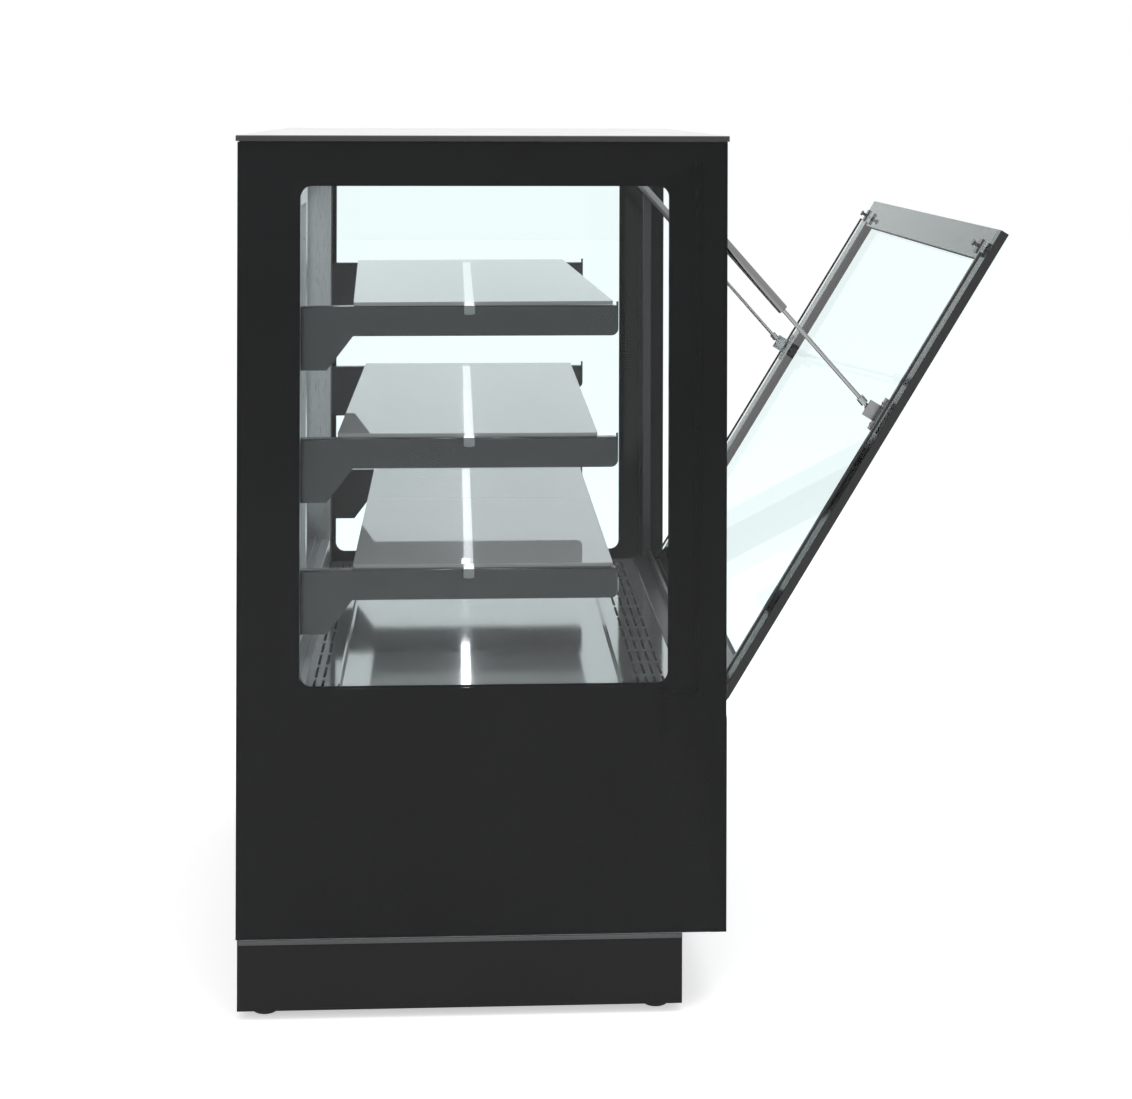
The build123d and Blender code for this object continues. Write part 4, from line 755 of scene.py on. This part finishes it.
def lamp_cap(low, high, side):
    """The blocks of a cap on one end of a lamp: a sleeve round the end and a nose under it.

    A lamp in the roof has no room above it, so its sleeve ends level with it.
    """
    end = high[0] if side > 0 else low[0]
    x_low, x_high = sorted((end - side * CAP_OVERLAP, end + side * CAP_PROUD))
    z_low = low[2] - CAP_DROP
    in_roof = high[2] > cad_bounds[1][2] - ROOF_LAMP_REACH
    z_high = high[2] + (0 if in_roof else CAP_PROUD)
    sleeve = (
        (x_low, low[1] - CAP_PROUD, z_low - CAP_PROUD),
        (x_high, high[1] + CAP_PROUD, z_high),
    )
    nose = (
        (x_low - CAP_NOSE_PROUD, low[1] + CAP_NOSE_INSET, z_low - 2 * CAP_PROUD),
        (x_high + CAP_NOSE_PROUD, high[1] - CAP_NOSE_INSET, z_low + CAP_PROUD),
    )
    return sleeve, nose


def lamp_end_caps():
    """Moulded caps on both ends of each lamp."""
    blocks = []
    for low, high in node_parts("lamp_housings"):
        for side in (-1, 1):
            blocks.extend(lamp_cap(low, high, side))
    block_piece("lamp_end_caps", blocks, CAP_ROUNDING, "grey_plastic", "cabinet")


def strut_foot_screws():
    """Two screws in the plate that holds each gas strut to the open front glass."""
    tilt = case_joints["front_glass_tilt"]
    open_angle = math.radians(-tilt["range_deg"][0])
    along = Vector((0, -math.sin(open_angle), math.cos(open_angle)))
    inward = Vector((0, math.cos(open_angle), math.sin(open_angle)))
    spots = []
    for strut in ("strut_swing_left", "strut_swing_right"):
        hinge = Vector(tilt["pos_m"])
        hinge.x = case_joints[strut]["pos_m"][0]
        for reach in (-FOOT_SCREW_REACH, FOOT_SCREW_REACH):
            spots.append(hinge + along * (FOOT_ALONG_GLASS + reach) + inward * FOOT_FACE_DEPTH)
    screw_heads("strut_foot_screws", spots, inward, "bright_steel", "front_glass", FOOT_SCREW_RADIUS)


rear_panel_screws()
lamp_end_caps()
strut_foot_screws()


# Studio


def seen_rays(node_tree):
    """One for rays from the camera, a mirror or glass, and zero for the rays that light the case."""
    rays = put(node_tree, "ShaderNodeLightPath")
    direct = arithmetic(node_tree, "MAXIMUM", rays.outputs["Is Camera Ray"], rays.outputs["Is Glossy Ray"])
    return arithmetic(node_tree, "MAXIMUM", direct, rays.outputs["Is Transmission Ray"])


def floor_finish():
    """Pale matte floor that keeps the shadow and glows towards the camera."""
    material, node_tree, output = new_material("floor")
    grey = (FLOOR_GREY, FLOOR_GREY, FLOOR_GREY)
    matte = put(node_tree, "ShaderNodeBsdfDiffuse", {"Color": opaque(grey)}).outputs[0]
    level = arithmetic(node_tree, "MULTIPLY", seen_rays(node_tree), FLOOR_GLOW)
    glow = put(node_tree, "ShaderNodeEmission", {"Strength": level}).outputs[0]
    both = put(node_tree, "ShaderNodeAddShader", {0: matte, 1: glow}).outputs[0]
    node_tree.links.new(both, output.inputs["Surface"])
    return material


def studio_floor():
    """A large floor under the case, which isn't part of it."""
    mesh = bpy.data.meshes.new("floor")
    builder = bmesh.new()
    bmesh.ops.create_grid(builder, x_segments=FLOOR_SEGMENTS, y_segments=FLOOR_SEGMENTS, size=FLOOR_REACH)
    builder.to_mesh(mesh)
    builder.free()
    mesh.materials.append(floor_finish())
    floor = bpy.data.objects.new("floor", mesh)
    bpy.context.scene.collection.objects.link(floor)


def plain_light(node_tree, strength):
    """An even white background."""
    return put(node_tree, "ShaderNodeBackground", {"Color": opaque(WHITE), "Strength": strength}).outputs[0]


def studio_world():
    """White where it is seen, and a plain level where it lights."""
    world = bpy.data.worlds.new("studio")
    world.use_nodes = True
    node_tree = world.node_tree
    node_tree.nodes.clear()
    lighting = plain_light(node_tree, WORLD_STRENGTH)
    seen = plain_light(node_tree, SEEN_STRENGTH)
    sky = mix_shaders(node_tree, seen_rays(node_tree), lighting, seen)
    put(node_tree, "ShaderNodeOutputWorld", {"Surface": sky})
    bpy.context.scene.world = world


def soft_box(name, place, target, size, power):
    """A large lamp that looks at a point."""
    lamp = bpy.data.lights.new(name, "AREA")
    lamp.shape = "RECTANGLE"
    lamp.size = size[0]
    lamp.size_y = size[1]
    lamp.energy = power
    holder = bpy.data.objects.new(name, lamp)
    holder.location = place
    holder.rotation_euler = (Vector(target) - Vector(place)).to_track_quat("-Z", "Y").to_euler()
    bpy.context.scene.collection.objects.link(holder)


studio_floor()
studio_world()
soft_box("over_light", place=(-0.5, -0.4, 3.6), target=(0, 0, 0.5), size=(3.0, 3.0), power=60.0)
soft_box("side_light", place=(-3.6, 2.2, 2.2), target=(0, 0, 0.7), size=(1.6, 2.2), power=28.0)

# Camera

camera_data = bpy.data.cameras.new("camera")
camera_data.sensor_width = SENSOR_WIDTH
camera_data.sensor_fit = "HORIZONTAL"
camera_data.lens = FOCAL_PIXELS * SENSOR_WIDTH / IMAGE_WIDTH
camera_data.shift_y = (HORIZON_ROW - IMAGE_HEIGHT / 2) / IMAGE_WIDTH
camera_data.clip_start = CLIP_START
camera_data.clip_end = CLIP_END
camera = bpy.data.objects.new("camera", camera_data)
forward = Vector((math.cos(CAMERA_YAW), math.sin(CAMERA_YAW), 0))
right = Vector((math.sin(CAMERA_YAW), -math.cos(CAMERA_YAW), 0))
up = Vector((0, 0, 1))
rolled_right = right * math.cos(CAMERA_ROLL) + up * math.sin(CAMERA_ROLL)
rolled_up = up * math.cos(CAMERA_ROLL) - right * math.sin(CAMERA_ROLL)
camera_turn = Matrix((rolled_right, rolled_up, -forward)).transposed().to_4x4()
camera.matrix_world = Matrix.Translation(CAMERA_PLACE) @ camera_turn
bpy.context.scene.collection.objects.link(camera)
bpy.context.scene.camera = camera
bpy.context.scene.view_settings.view_transform = "Standard"
